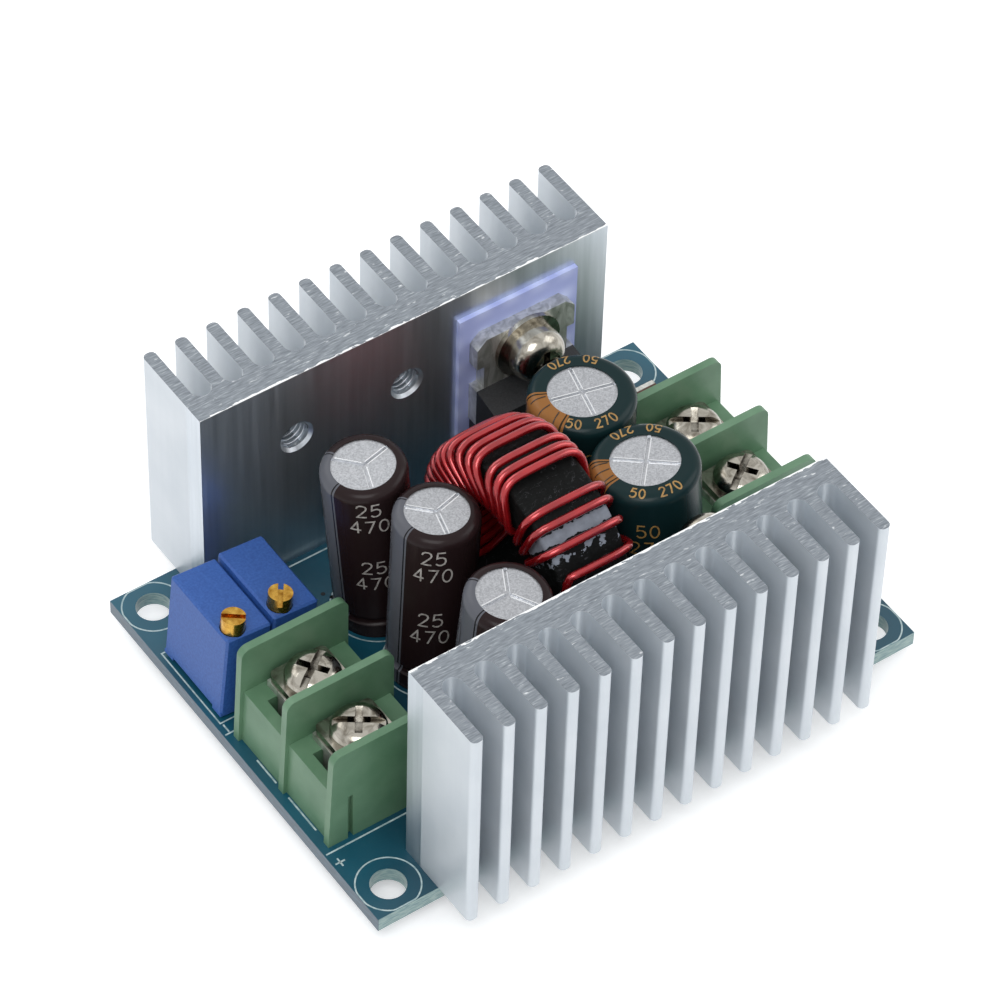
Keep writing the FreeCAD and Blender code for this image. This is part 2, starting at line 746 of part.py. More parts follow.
parts["rear_heatsink"] = stand(heatsink(), Vector(rear_heatsink_shift, heatsink_face, 0), 180)
parts["front_heatsink"] = stand(heatsink(), Vector(front_heatsink_shift, -heatsink_face, 0), 0)

parts["rear_device_leads"] = power_device("rear", 1, rear_heatsink_shift)
parts["front_device_leads"] = power_device("front", -1, front_heatsink_shift)
rear_fasteners = device_fasteners(1, rear_heatsink_shift)
front_fasteners = device_fasteners(-1, front_heatsink_shift)
for index, name in enumerate(("device_screws", "device_flat_washers", "device_lock_washers")):
    parts[name] = [rear_fasteners[index], front_fasteners[index]]

three_way = (0, 120, 240)
four_way = (0, 90, 180, 270)
output_size = (output_can_radius, output_can_height, output_lead_pitch, output_sleeve_opening)
input_size = (input_can_radius, input_can_height, input_lead_pitch, input_sleeve_opening)
output_places = ((-9.6, 8.1, -1.7, -0.05, 10), (-9.5, -0.15, 0.67, 0.03, 15), (-9.9, -10.4, 0.76, -1.4, 62))
input_places = ((10.6, 4.8, 0.0, 0.0, 76), (10.9, -6.6, -0.65, 1.1, 48))
capacitor_leads = []
for number, (x, y, lean_x, lean_y, turn) in enumerate(output_places, 1):
    scores = [turn + step for step in three_way]
    capacitor_leads += capacitor(f"output_capacitor_{number}", *output_size, x, y, lean_x, lean_y, scores, 90)
for number, (x, y, lean_x, lean_y, turn) in enumerate(input_places, 1):
    scores = [turn + step for step in four_way]
    capacitor_leads += capacitor(f"input_capacitor_{number}", *input_size, x, y, lean_x, lean_y, scores, 0)
parts["capacitor_leads"] = capacitor_leads

parts["inductor_core"] = inductor_core()
parts["inductor_winding"] = inductor_winding()

trimmer_pins = trimmer("voltage_trimmer", trimmer_x, voltage_slot_turn)
trimmer_pins += trimmer("current_trimmer", trimmer_x + trimmer_pitch, current_slot_turn)
parts["trimmer_pins"] = trimmer_pins

terminal("out", out_terminal_edge_gap - board_length / 2, out_terminal_y, 0)
terminal("in", board_length / 2 - in_terminal_edge_gap, in_terminal_y, 180)

controller_body, controller_leg_set = chip(controller_length, controller_legs, controller_place.x,
                                            controller_place.y)
comparator_body, comparator_leg_set = chip(comparator_length, comparator_legs, comparator_place.x,
                                              comparator_place.y)
parts["pwm_controller"] = controller_body
parts["current_comparator"] = comparator_body
parts["chip_legs"] = controller_leg_set + comparator_leg_set
shunt_places = ((-16.5, -7.0), (-16.5, -11.0))
resistor_places = ((-2.5, 3.0), (0.5, 3.0), (3.5, 3.0), (-19.0, 4.0), (-16.0, 4.0), (-13.5, 4.0))
ceramic_places = ((-2.5, -8.0), (0.5, -8.0), (3.5, -8.0), (19.5, 12.0), (19.5, -12.0))
parts["current_shunts"] = [flat_block(shunt_length, shunt_width, shunt_height, x, y) for x, y in shunt_places]
parts["chip_resistors"] = [flat_block(small_chip_length, small_chip_width, small_chip_height, x, y)
                           for x, y in resistor_places]
parts["chip_capacitors"] = [flat_block(small_chip_length, small_chip_width, small_chip_height * 2, x, y)
                            for x, y in ceramic_places]
parts["input_chip_capacitor"] = centred_box(input_chip_width, input_chip_length, input_chip_height,
                                            input_chip_place.x, input_chip_place.y, 0)

parts["circuit_board"] = circuit_board()
parts["solder_joints"] = solder_joints()

os.makedirs("parts", exist_ok=True)
for name, shape in parts.items():
    solid = Part.makeCompound(shape) if isinstance(shape, list) else shape
    solid = solid.translated(Vector(0, 0, board_thickness))
    solid.exportStep(f"parts/{name}.step")
    print(name, len(solid.Solids), round(solid.Volume, 2), solid.isValid())
print(len(parts), "nodes")
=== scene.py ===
import math
import random

import bmesh
import bpy
from mathutils import Matrix, Vector
from mathutils.bvhtree import BVHTree


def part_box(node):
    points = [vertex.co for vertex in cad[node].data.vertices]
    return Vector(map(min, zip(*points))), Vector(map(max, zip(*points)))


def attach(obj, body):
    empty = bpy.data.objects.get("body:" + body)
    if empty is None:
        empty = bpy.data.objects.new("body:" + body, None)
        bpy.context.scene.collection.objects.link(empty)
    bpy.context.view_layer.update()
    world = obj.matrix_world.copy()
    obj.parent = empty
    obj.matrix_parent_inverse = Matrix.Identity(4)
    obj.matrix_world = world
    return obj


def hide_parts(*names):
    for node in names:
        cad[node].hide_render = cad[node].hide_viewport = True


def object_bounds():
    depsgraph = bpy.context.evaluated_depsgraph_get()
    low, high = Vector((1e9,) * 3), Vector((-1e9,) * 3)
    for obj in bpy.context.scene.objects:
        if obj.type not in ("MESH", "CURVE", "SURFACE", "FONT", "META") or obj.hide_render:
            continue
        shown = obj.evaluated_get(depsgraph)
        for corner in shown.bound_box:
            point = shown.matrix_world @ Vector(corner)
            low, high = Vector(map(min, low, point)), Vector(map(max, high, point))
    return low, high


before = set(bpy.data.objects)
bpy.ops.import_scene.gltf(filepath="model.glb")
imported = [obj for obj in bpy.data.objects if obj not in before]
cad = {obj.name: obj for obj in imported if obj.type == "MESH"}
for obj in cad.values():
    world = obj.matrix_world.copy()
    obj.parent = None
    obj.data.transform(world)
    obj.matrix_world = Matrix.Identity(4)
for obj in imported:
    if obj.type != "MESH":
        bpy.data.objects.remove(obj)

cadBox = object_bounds()
mm = 0.001
boardLow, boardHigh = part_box("circuit_board")
boardTop = boardHigh.z
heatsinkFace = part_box("rear_heatsink")[0].y


# Shared helpers
def hexColour(code):
    channels = [int(code[i:i + 2], 16) / 255 for i in (1, 3, 5)]
    linear = [c / 12.92 if c <= 0.04045 else ((c + 0.055) / 1.055) ** 2.4 for c in channels]
    return (*linear, 1.0)


def addNode(tree, kind, settings=None, links=None):
    node = tree.nodes.new("ShaderNode" + kind)
    for key, value in (settings or {}).items():
        if key == "stops":
            while len(node.color_ramp.elements) < len(value):
                node.color_ramp.elements.new(1.0)
            for element, (place, colour) in zip(node.color_ramp.elements, value):
                element.position = place
                element.color = hexColour(colour)
        elif isinstance(key, int) or key in node.inputs:
            node.inputs[key].default_value = value
        else:
            setattr(node, key, value)
    for key, source in (links or {}).items():
        socket = source if isinstance(source, bpy.types.NodeSocket) else source.outputs[0]
        tree.links.new(socket, node.inputs[key])
    return node


def startMaterial(name, colour, roughness, metallic=0.0, **shine):
    material = bpy.data.materials.new(name)
    material.use_nodes = True
    tree = material.node_tree
    shader = tree.nodes["Principled BSDF"]
    shader.inputs["Base Color"].default_value = hexColour(colour)
    shader.inputs["Roughness"].default_value = roughness
    shader.inputs["Metallic"].default_value = metallic
    for key, value in shine.items():
        shader.inputs[key.replace("_", " ")].default_value = value
    return material, tree, shader


def objectPlace(tree, stretch=(1, 1, 1), turn=(0, 0, 0)):
    place = addNode(tree, "TexCoord").outputs["Object"]
    return addNode(tree, "Mapping", {"Scale": stretch, "Rotation": turn}, {"Vector": place})


def addBump(tree, shader, height, depth, strength=1.0):
    bump = addNode(tree, "Bump", {"Distance": depth, "Strength": strength}, {"Height": height})
    tree.links.new(bump.outputs[0], shader.inputs["Normal"])


def mixColours(tree, factor, first, second):
    settings = {"data_type": "RGBA"}
    links = {0: factor}
    for key, colour in ((6, first), (7, second)):
        if isinstance(colour, str):
            settings[key] = hexColour(colour)
        else:
            links[key] = colour
    return addNode(tree, "Mix", settings, links).outputs[2]


def makePiece(name, mesh, material, body="board", smooth=True):
    piece = bpy.data.objects.new(name, mesh)
    bpy.context.scene.collection.objects.link(piece)
    mesh.materials.clear()
    mesh.materials.append(material)
    for polygon in mesh.polygons:
        polygon.use_smooth = smooth
    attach(piece, body)
    return piece


def meshFrom(name, points, faces):
    mesh = bpy.data.meshes.new(name)
    mesh.from_pydata([tuple(p) for p in points], [], faces)
    mesh.validate()
    return mesh


def tube(points, radius, sides):
    # A round wire along a path: the ring frame is carried along without twist
    path = [Vector(p) for p in points]
    last = len(path) - 1
    rings, faces = [], []
    previous = None
    for i, place in enumerate(path):
        along = (path[min(i + 1, last)] - path[max(i - 1, 0)]).normalized()
        if previous is None:
            side = along.orthogonal().normalized()
        else:
            side = (previous - along * previous.dot(along)).normalized()
        previous = side
        other = along.cross(side)
        for k in range(sides):
            angle = 2 * math.pi * k / sides
            rings.append(place + radius * (math.cos(angle) * side + math.sin(angle) * other))
    for i in range(last):
        for k in range(sides):
            a, b = i * sides + k, i * sides + (k + 1) % sides
            faces.append((a, b, b + sides, a + sides))
    faces.append(tuple(reversed(range(sides))))
    faces.append(tuple(last * sides + k for k in range(sides)))
    return rings, faces


def gather(shapes):
    points, faces = [], []
    for morePoints, moreFaces in shapes:
        start = len(points)
        points += morePoints
        faces += [tuple(start + k for k in face) for face in moreFaces]
    return points, faces


# Heatsink aluminium: satin along the extrusion, etched dull between the fins, and sawn grey and scratched at
# both ends, where the saw leaves an uneven burr along the plate's face, painted near white as a highlight
heatsinkFinish = {
    "finStart": 2.3, "burrAndHighlight": (0.02, 0.28), "drawnStreak": 0.5, "cloud": 6, "sawScratch": 0.16, "nick": 0.35,
    "sawScratchTurn": -22, "nickTurn": 40,
}


def sawnExtrudedAluminium():
    material, tree, shader = startMaterial("sawnExtrudedAluminium", "#c9ced4", 0.4, 1.0)
    facing = addNode(tree, "SeparateXYZ", links={0: addNode(tree, "NewGeometry").outputs["Normal"]})
    upward = addNode(tree, "Math", {"operation": "ABSOLUTE"}, {0: facing.outputs[2]})
    sawn = addNode(tree, "Math", {"operation": "GREATER_THAN", 1: 0.9}, {0: upward})
    place = addNode(tree, "SeparateXYZ", links={0: addNode(tree, "TexCoord").outputs["Object"]})
    outward = addNode(tree, "Math", {"operation": "ABSOLUTE"}, {0: place.outputs[1]})
    finStart = heatsinkFace + heatsinkFinish["finStart"] * mm
    finned = addNode(tree, "Math", {"operation": "GREATER_THAN", 1: finStart}, {0: outward})
    streak = addNode(tree, "TexNoise", {"Scale": 1 / (heatsinkFinish["drawnStreak"] * mm), "Detail": 3.0},
                     {"Vector": objectPlace(tree, (1, 1, 0.03))})
    cloud = addNode(tree, "TexNoise", {"Scale": 1 / (heatsinkFinish["cloud"] * mm), "Detail": 4.0},
                    {"Vector": objectPlace(tree)})
    drawn = addNode(tree, "ValToRGB", {"stops": ((0.25, "#bfc5cb"), (0.75, "#dbe0e6"))}, {0: streak})
    etchedPale = mixColours(tree, finned, drawn.outputs[0], "#d8dde2")
    clouded = mixColours(tree, cloud, etchedPale, "#bfc7ce")
    scratchTurn, nickTurn = (math.radians(heatsinkFinish[k]) for k in ("sawScratchTurn", "nickTurn"))
    scratch = addNode(tree, "TexNoise", {"Scale": 1 / (heatsinkFinish["sawScratch"] * mm), "Detail": 3.0},
                      {"Vector": objectPlace(tree, (0.13, 1, 1), (0, 0, scratchTurn))})
    nicked = addNode(tree, "TexNoise", {"Scale": 1 / (heatsinkFinish["nick"] * mm), "Detail": 5.0},
                     {"Vector": objectPlace(tree, (0.3, 1, 1), (0, 0, nickTurn))})
    sawnGrey = addNode(tree, "ValToRGB", {"stops": ((0.3, "#6f767e"), (0.6, "#8f969d"), (0.8, "#bfc6cb"))},
                       {0: scratch})
    pitted = addNode(tree, "MapRange", {1: 0.66, 2: 0.76}, {0: nicked})
    scarred = mixColours(tree, pitted, sawnGrey.outputs[0], "#dfe3e6")
    thinBurr, wideBurr = (heatsinkFace + width * mm for width in heatsinkFinish["burrAndHighlight"])
    tornWidth = addNode(tree, "MapRange", {1: 0.38, 2: 0.62, 3: thinBurr, 4: wideBurr}, {0: nicked})
    # The burr along the plate's face is real, and its near-white colour is a painted highlight
    burrAndHighlight = addNode(tree, "Math", {"operation": "LESS_THAN"}, {0: outward, 1: tornWidth})
    marked = mixColours(tree, burrAndHighlight, scarred, "#f4f6f7")
    tree.links.new(mixColours(tree, sawn, clouded, marked), shader.inputs["Base Color"])
    finish = addNode(tree, "MapRange", {3: 0.3, 4: 0.46}, {0: streak})
    rough = addNode(tree, "Mix", {3: 0.5}, {0: sawn, 2: finish})
    tree.links.new(rough.outputs[0], shader.inputs["Roughness"])
    etched = addNode(tree, "Math", {"operation": "MAXIMUM"}, {0: finned, 1: sawn})
    metal = addNode(tree, "MapRange", {3: 0.95, 4: 0.45}, {0: etched})
    tree.links.new(metal.outputs[0], shader.inputs["Metallic"])
    height = addNode(tree, "Mix", links={0: sawn, 2: streak, 3: scratch})
    addBump(tree, shader, height, 0.012 * mm, 0.5)
    return material


# Circuit board: teal solder mask over copper and glass laminate. The cut edge of the laminate shows pale,
# apart from the left side, which is painted dark as shade
def maskedLaminate():
    material, tree, shader = startMaterial("tealMaskedLaminate", "#104a5e", 0.34, Coat_Weight=0.2,
                                           Coat_Roughness=0.15)
    facing = addNode(tree, "SeparateXYZ", links={0: addNode(tree, "NewGeometry").outputs["Normal"]})
    flat = addNode(tree, "Math", {"operation": "ABSOLUTE"}, {0: facing.outputs[2]})
    masked = addNode(tree, "Math", {"operation": "GREATER_THAN", 1: 0.7}, {0: flat})
    weave = addNode(tree, "TexNoise", {"Scale": 1 / (0.6 * mm), "Detail": 3.0}, {"Vector": objectPlace(tree)})
    drift = addNode(tree, "TexNoise", {"Scale": 1 / (14 * mm), "Detail": 2.0}, {"Vector": objectPlace(tree)})
    mask = addNode(tree, "ValToRGB", {"stops": ((0.35, "#0b3a4c"), (0.68, "#14586c"))}, {0: drift})
    layers = addNode(tree, "TexNoise", {"Scale": 1 / (0.9 * mm), "Detail": 2.0},
                     {"Vector": objectPlace(tree, (1, 1, 7))})
    edge = addNode(tree, "ValToRGB", {"stops": ((0.35, "#64868a"), (0.65, "#98b0ac"))}, {0: layers})
    place = addNode(tree, "SeparateXYZ", links={0: addNode(tree, "TexCoord").outputs["Object"]})
    leftEdge = boardLow.x + 0.05 * mm
    leftward = addNode(tree, "Math", {"operation": "LESS_THAN", 1: leftEdge}, {0: place.outputs[0]})
    # Painted shade: the left cut edge is darkened as the unlit side of the board
    shadedLeftEdge = addNode(tree, "ValToRGB", {"stops": ((0.35, "#1b384c"), (0.7, "#38596d"))}, {0: layers})
    side = mixColours(tree, leftward, edge.outputs[0], shadedLeftEdge.outputs[0])
    tree.links.new(mixColours(tree, masked, side, mask.outputs[0]), shader.inputs["Base Color"])
    addBump(tree, shader, weave, 0.01 * mm, 0.3)
    return material


# Solder: bright tin alloy, frozen smooth with a faint grain
def frozenSolder():
    material, tree, shader = startMaterial("frozenTinSolder", "#c3c6ca", 0.22, 1.0)
    grain = addNode(tree, "TexNoise", {"Scale": 1 / (0.5 * mm), "Detail": 3.0}, {"Vector": objectPlace(tree)})
    finish = addNode(tree, "MapRange", {3: 0.14, 4: 0.34}, {0: grain})
    tree.links.new(finish.outputs[0], shader.inputs["Roughness"])
    addBump(tree, shader, grain, 0.03 * mm, 0.4)
    return material


# Thermal pad: matt lavender silicone on glass cloth. The real threads are too fine to show, so the weave is
# drawn with its threads about 3 mm apart
def siliconeOnGlassCloth():
    material, tree, shader = startMaterial("lavenderSiliconePad", "#a9b4e2", 0.62, Sheen_Weight=0.15)
    # A wave texture of this scale repeats every 3.1 mm
    threads = [addNode(tree, "TexWave", {"Scale": 1 / (10 * mm), "bands_direction": way},
                       {"Vector": objectPlace(tree)}) for way in ("X", "Z")]
    cloth = addNode(tree, "Math", {"operation": "MULTIPLY"}, {0: threads[0], 1: threads[1]})
    tone = addNode(tree, "ValToRGB", {"stops": ((0.0, "#9faade"), (1.0, "#bbc5ee"))}, {0: cloth})
    tree.links.new(tone.outputs[0], shader.inputs["Base Color"])
    addBump(tree, shader, cloth, 0.02 * mm, 0.4)
    return material


# Tinned copper: dull silver with soft rubbing marks
def tinnedCopper():
    material, tree, shader = startMaterial("tinnedCopper", "#b9bab6", 0.3, 0.75)
    rub = addNode(tree, "TexNoise", {"Scale": 1 / (0.9 * mm), "Detail": 6.0, "Distortion": 1.2},
                  {"Vector": objectPlace(tree, (1, 1, 0.35))})
    tone = addNode(tree, "ValToRGB", {"stops": ((0.3, "#a3a59d"), (0.7, "#dcddd9"))}, {0: rub})
    tree.links.new(tone.outputs[0], shader.inputs["Base Color"])
    finish = addNode(tree, "MapRange", {3: 0.2, 4: 0.48}, {0: rub})
    tree.links.new(finish.outputs[0], shader.inputs["Roughness"])
    addBump(tree, shader, rub, 0.015 * mm, 0.5)
    return material


# Moulded epoxy: black with an eroded grain from the mould, drawn coarser than real so that it shows
def mouldedEpoxy():
    material, tree, shader = startMaterial("mouldedBlackEpoxy", "#1b1c1e", 0.55)
    grain = addNode(tree, "TexNoise", {"Scale": 1 / (0.16 * mm), "Detail": 2.0},
                    {"Vector": objectPlace(tree)})
    tone = addNode(tree, "ValToRGB", {"stops": ((0.3, "#141517"), (0.75, "#27282b"))}, {0: grain})
    tree.links.new(tone.outputs[0], shader.inputs["Base Color"])
    addBump(tree, shader, grain, 0.02 * mm, 0.5)
    return material


# Nickel plated steel: warm bright metal, with painted shade that darkens it in the recesses, as much as they
# are enclosed
def nickelPlatedSteel():
    material, tree, shader = startMaterial("nickelPlatedSteel", "#c4c0b6", 0.18, 1.0)
    stain = addNode(tree, "TexNoise", {"Scale": 1 / (1.1 * mm), "Detail": 5.0, "Distortion": 0.8},
                    {"Vector": objectPlace(tree)})
    tone = addNode(tree, "ValToRGB", {"stops": ((0.3, "#736d62"), (0.6, "#b3afa5"))}, {0: stain})
    # Painted shade: the colour turns dark brown where the surface is enclosed, where shade falls
    recessShade = addNode(tree, "AmbientOcclusion", {"only_local": True, "samples": 6, "Distance": 0.9 * mm})
    unshadedShare = addNode(tree, "MapRange", {1: 0.35, 2: 0.85}, {0: recessShade.outputs["AO"]})
    tree.links.new(mixColours(tree, unshadedShare, "#2c2720", tone.outputs[0]), shader.inputs["Base Color"])
    finish = addNode(tree, "MapRange", {3: 0.32, 4: 0.1}, {0: stain})
    tree.links.new(finish.outputs[0], shader.inputs["Roughness"])
    addBump(tree, shader, stain, 0.03 * mm, 0.5)
    return material


# Can aluminium: drawn and etched, so it glitters in small pale specks
def etchedCanAluminium():
    material, tree, shader = startMaterial("etchedCanAluminium", "#c5c6c8", 0.4, 1.0)
    specks = addNode(tree, "TexVoronoi", {"Scale": 1 / (0.12 * mm)}, {"Vector": objectPlace(tree)})
    glint = addNode(tree, "SeparateColor", links={0: specks.outputs["Color"]})
    tone = addNode(tree, "ValToRGB", {"stops": ((0.1, "#9fa1a5"), (0.9, "#b9bbbf"))}, {0: glint})
    facing = addNode(tree, "SeparateXYZ", links={0: addNode(tree, "NewGeometry").outputs["Normal"]})
    # Painted highlight: faces that do not face up, the walls of the vent scores, are painted near white
    scoreWallHighlight = addNode(tree, "Math", {"operation": "LESS_THAN", 1: 0.9}, {0: facing.outputs[2]})
    tree.links.new(mixColours(tree, scoreWallHighlight, tone.outputs[0], "#dfe1e4"), shader.inputs["Base Color"])
    finish = addNode(tree, "MapRange", {3: 0.28, 4: 0.55}, {0: glint.outputs[1]})
    tree.links.new(finish.outputs[0], shader.inputs["Roughness"])
    addBump(tree, shader, glint.outputs[2], 0.004 * mm, 0.5)
    return material


# Shrink sleeve: glossy film in one colour, with a printed stripe down the side of the negative lead
def shrinkSleeve(name, film, stripe, outline, middle, halfWidth, bottom, top):
    material, tree, shader = startMaterial(name, film, 0.24, Specular_IOR_Level=0.14)
    # The stripe's outline runs inside its edge, all in radians round the can
    outlineInset, outlineHalf = 0.07, 0.02
    place = addNode(tree, "TexCoord").outputs["Object"]
    heightNow = addNode(tree, "SeparateXYZ", links={0: place}).outputs[2]
    share = addNode(tree, "MapRange", {1: bottom.z, 2: top.z}, {0: heightNow})
    axisPoint = addNode(tree, "Mix", {"data_type": "VECTOR", 4: bottom, 5: top}, {0: share})
    aside = addNode(tree, "VectorMath", {"operation": "SUBTRACT"}, {0: place, 1: axisPoint.outputs[1]})
    turned = addNode(tree, "VectorRotate", {"rotation_type": "Z_AXIS", "Angle": -middle}, {"Vector": aside})
    across = addNode(tree, "SeparateXYZ", links={0: turned})
    angle = addNode(tree, "Math", {"operation": "ARCTAN2"}, {0: across.outputs[1], 1: across.outputs[0]})
    away = addNode(tree, "Math", {"operation": "ABSOLUTE"}, {0: angle})
    striped = addNode(tree, "Math", {"operation": "LESS_THAN", 1: halfWidth}, {0: away})
    edged = addNode(tree, "Math", {"operation": "COMPARE", 1: halfWidth - outlineInset, 2: outlineHalf},
                    {0: away})
    wrinkle = addNode(tree, "TexNoise", {"Scale": 1 / (3 * mm), "Detail": 2.0}, {"Vector": place})
    printed = mixColours(tree, striped, film, stripe)
    tree.links.new(mixColours(tree, edged, printed, outline), shader.inputs["Base Color"])
    addBump(tree, shader, wrinkle, 0.03 * mm, 0.25)
    return material


# Powder core: black baked coating, scratched, and worn through to pale grey between two of the turns
def coatedPowderCore(centre):
    material, tree, shader = startMaterial("blackCoatedPowderCore", "#0c0d0e", 0.55, Specular_IOR_Level=0.1)
    place = addNode(tree, "TexCoord").outputs["Object"]
    aside = addNode(tree, "VectorMath", {"operation": "SUBTRACT", 1: centre}, {0: place})
    across = addNode(tree, "SeparateXYZ", links={0: aside})
    rearward = across.outputs[1]
    angle = addNode(tree, "Math", {"operation": "ARCTAN2"}, {0: across.outputs[2], 1: rearward})
    ragged = addNode(tree, "TexNoise", {"Scale": 1 / (0.8 * mm), "Detail": 5.0}, {"Vector": place})
    jitter = addNode(tree, "MapRange", {3: -0.05, 4: 0.05}, {0: ragged})
    bent = addNode(tree, "Math", {"operation": "ADD"}, {0: angle, 1: jitter})
    # The middle and half width of both worn places, in degrees round the core
    wornPlaces = ((126, 3.2), (137, 2.6))
    patch, shreds = (addNode(tree, "Math", {"operation": "COMPARE", 1: math.radians(middle),
                                            2: math.radians(halfWidth)}, {0: bent})
                     for middle, halfWidth in wornPlaces)
    flaky = addNode(tree, "Math", {"operation": "GREATER_THAN", 1: 0.53}, {0: ragged})
    shredded = addNode(tree, "Math", {"operation": "MULTIPLY"}, {0: shreds, 1: flaky})
    worn = addNode(tree, "Math", {"operation": "MAXIMUM"}, {0: patch, 1: shredded})
    grain = addNode(tree, "TexNoise", {"Scale": 1 / (0.25 * mm), "Detail": 2.0}, {"Vector": place})
    bare = addNode(tree, "ValToRGB", {"stops": ((0.3, "#747a84"), (0.7, "#878e99"))}, {0: ragged})
    coat = addNode(tree, "ValToRGB", {"stops": ((0.3, "#060707"), (0.75, "#101212"))}, {0: grain})
    crossed = addNode(tree, "TexNoise", {"Scale": 1 / (1.3 * mm), "Detail": 4.0, "Distortion": 2.5},
                      {"Vector": objectPlace(tree, (0.6, 1, 2), (0.5, 0.3, 0.9))})
    scratch = addNode(tree, "Math", {"operation": "COMPARE", 1: 0.6, 2: 0.006}, {0: crossed})
    scuffed = mixColours(tree, scratch, coat.outputs[0], "#3a3b3e")
    tree.links.new(mixColours(tree, worn, scuffed, bare.outputs[0]), shader.inputs["Base Color"])
    addBump(tree, shader, grain, 0.02 * mm, 0.25)
    return material


# Enamelled wire: copper under clear red enamel, so it shines pink along the top of each turn
def redEnamelledCopper():
    material, tree, shader = startMaterial("redEnamelledCopper", "#a3131a", 0.24, 0.6, Coat_Weight=1.0,
                                           Coat_Roughness=0.05)
    blotch = addNode(tree, "TexNoise", {"Scale": 1 / (2.5 * mm), "Detail": 2.0},
                     {"Vector": objectPlace(tree)})
    tone = addNode(tree, "ValToRGB", {"stops": ((0.3, "#8e0f17"), (0.75, "#b61a22"))}, {0: blotch})
    tree.links.new(tone.outputs[0], shader.inputs["Base Color"])
    return material


# Trimmer case: blue glass-filled plastic, matt from the mould, with its grain drawn coarser than real
def mouldedBluePlastic():
    material, tree, shader = startMaterial("mouldedBluePlastic", "#3159a8", 0.5)
    grain = addNode(tree, "TexNoise", {"Scale": 1 / (0.22 * mm), "Detail": 2.0},
                    {"Vector": objectPlace(tree)})
    tone = addNode(tree, "ValToRGB", {"stops": ((0.3, "#264e96"), (0.75, "#3360aa"))}, {0: grain})
    tree.links.new(tone.outputs[0], shader.inputs["Base Color"])
    addBump(tree, shader, grain, 0.015 * mm, 0.4)
    return material


# Turned brass: fine rings from the lathe, browned a little
def turnedBrass():
    material, tree, shader = startMaterial("turnedBrass", "#c8953a", 0.25, 1.0)
    brown = addNode(tree, "TexNoise", {"Scale": 1 / (0.6 * mm), "Detail": 4.0}, {"Vector": objectPlace(tree)})
    tone = addNode(tree, "ValToRGB", {"stops": ((0.3, "#a5742a"), (0.7, "#dcae52"))}, {0: brown})
    tree.links.new(tone.outputs[0], shader.inputs["Base Color"])
    finish = addNode(tree, "MapRange", {3: 0.36, 4: 0.18}, {0: brown})
    tree.links.new(finish.outputs[0], shader.inputs["Roughness"])
    return material


# Terminal plastic: green polyamide, satin from the mould and slightly cloudy, with its grain drawn coarser
# than real
def mouldedGreenPolyamide():
    material, tree, shader = startMaterial("mouldedGreenPolyamide", "#5f8a66", 0.42)
    cloud = addNode(tree, "TexNoise", {"Scale": 1 / (4 * mm), "Detail": 3.0}, {"Vector": objectPlace(tree)})
    tone = addNode(tree, "ValToRGB", {"stops": ((0.3, "#51775a"), (0.75, "#688b6f"))}, {0: cloud})
    tree.links.new(tone.outputs[0], shader.inputs["Base Color"])
    grain = addNode(tree, "TexNoise", {"Scale": 1 / (0.3 * mm), "Detail": 2.0}, {"Vector": objectPlace(tree)})
    addBump(tree, shader, grain, 0.012 * mm, 0.4)
    return material


# Chip ceramic: brown fired body between tinned ends
def firedChipCeramic():
    material, tree, shader = startMaterial("firedChipCeramic", "#4a3026", 0.45)
    grain = addNode(tree, "TexNoise", {"Scale": 1 / (0.3 * mm), "Detail": 2.0}, {"Vector": objectPlace(tree)})
    tone = addNode(tree, "ValToRGB", {"stops": ((0.3, "#3d261e"), (0.7, "#5a3c2f"))}, {0: grain})
    tree.links.new(tone.outputs[0], shader.inputs["Base Color"])
    return material


# Seal rubber: black and dull
def sealRubber():
    material, tree, shader = startMaterial("blackSealRubber", "#17171a", 0.7)
    grain = addNode(tree, "TexNoise", {"Scale": 1 / (0.3 * mm), "Detail": 2.0}, {"Vector": objectPlace(tree)})
    addBump(tree, shader, grain, 0.02 * mm, 0.4)
    return material


coreLow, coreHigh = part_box("inductor_core")
coreCentre = (coreLow + coreHigh) / 2
finishes = {
    "circuit_board": maskedLaminate(),
    "solder_joints": frozenSolder(),
    "inductor_core": coatedPowderCore(coreCentre),
    "inductor_winding": redEnamelledCopper(),
}
aluminium = sawnExtrudedAluminium()
pad = siliconeOnGlassCloth()
tinned = tinnedCopper()
epoxy = mouldedEpoxy()
nickel = nickelPlatedSteel()
canMetal = etchedCanAluminium()
blue = mouldedBluePlastic()
brass = turnedBrass()
green = mouldedGreenPolyamide()
ceramic = firedChipCeramic()
rubber = sealRubber()
groups = {
    "heatsink": aluminium, "thermal_pad": pad, "device_tab": tinned, "device_package": epoxy, "leads": tinned,
    "device_screws": nickel, "washer": nickel, "clamp_screw": nickel, "_can": canMetal, "_seal": rubber,
    "trimmer_body": blue, "trimmer_screw": brass, "trimmer_pins": tinned, "housing": green, "contact": tinned,
    "controller": epoxy, "comparator": epoxy, "chip_legs": tinned, "shunts": epoxy, "resistors": epoxy,
    "chip_capacitor": ceramic,
}


# Where each capacitor stands: its axis from the foot to the vent, read from the can's own points
def canAxis(node):
    low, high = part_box(node)
    endDepth = 2.5 * mm
    ends = []
    for level in (low.z, high.z):
        ring = [v.co for v in cad[node].data.vertices if abs(v.co.z - level) < endDepth]
        corner = [Vector([pick(p[i] for p in ring) for i in range(3)]) for pick in (min, max)]
        ends.append((corner[0] + corner[1]) / 2)
    return ends


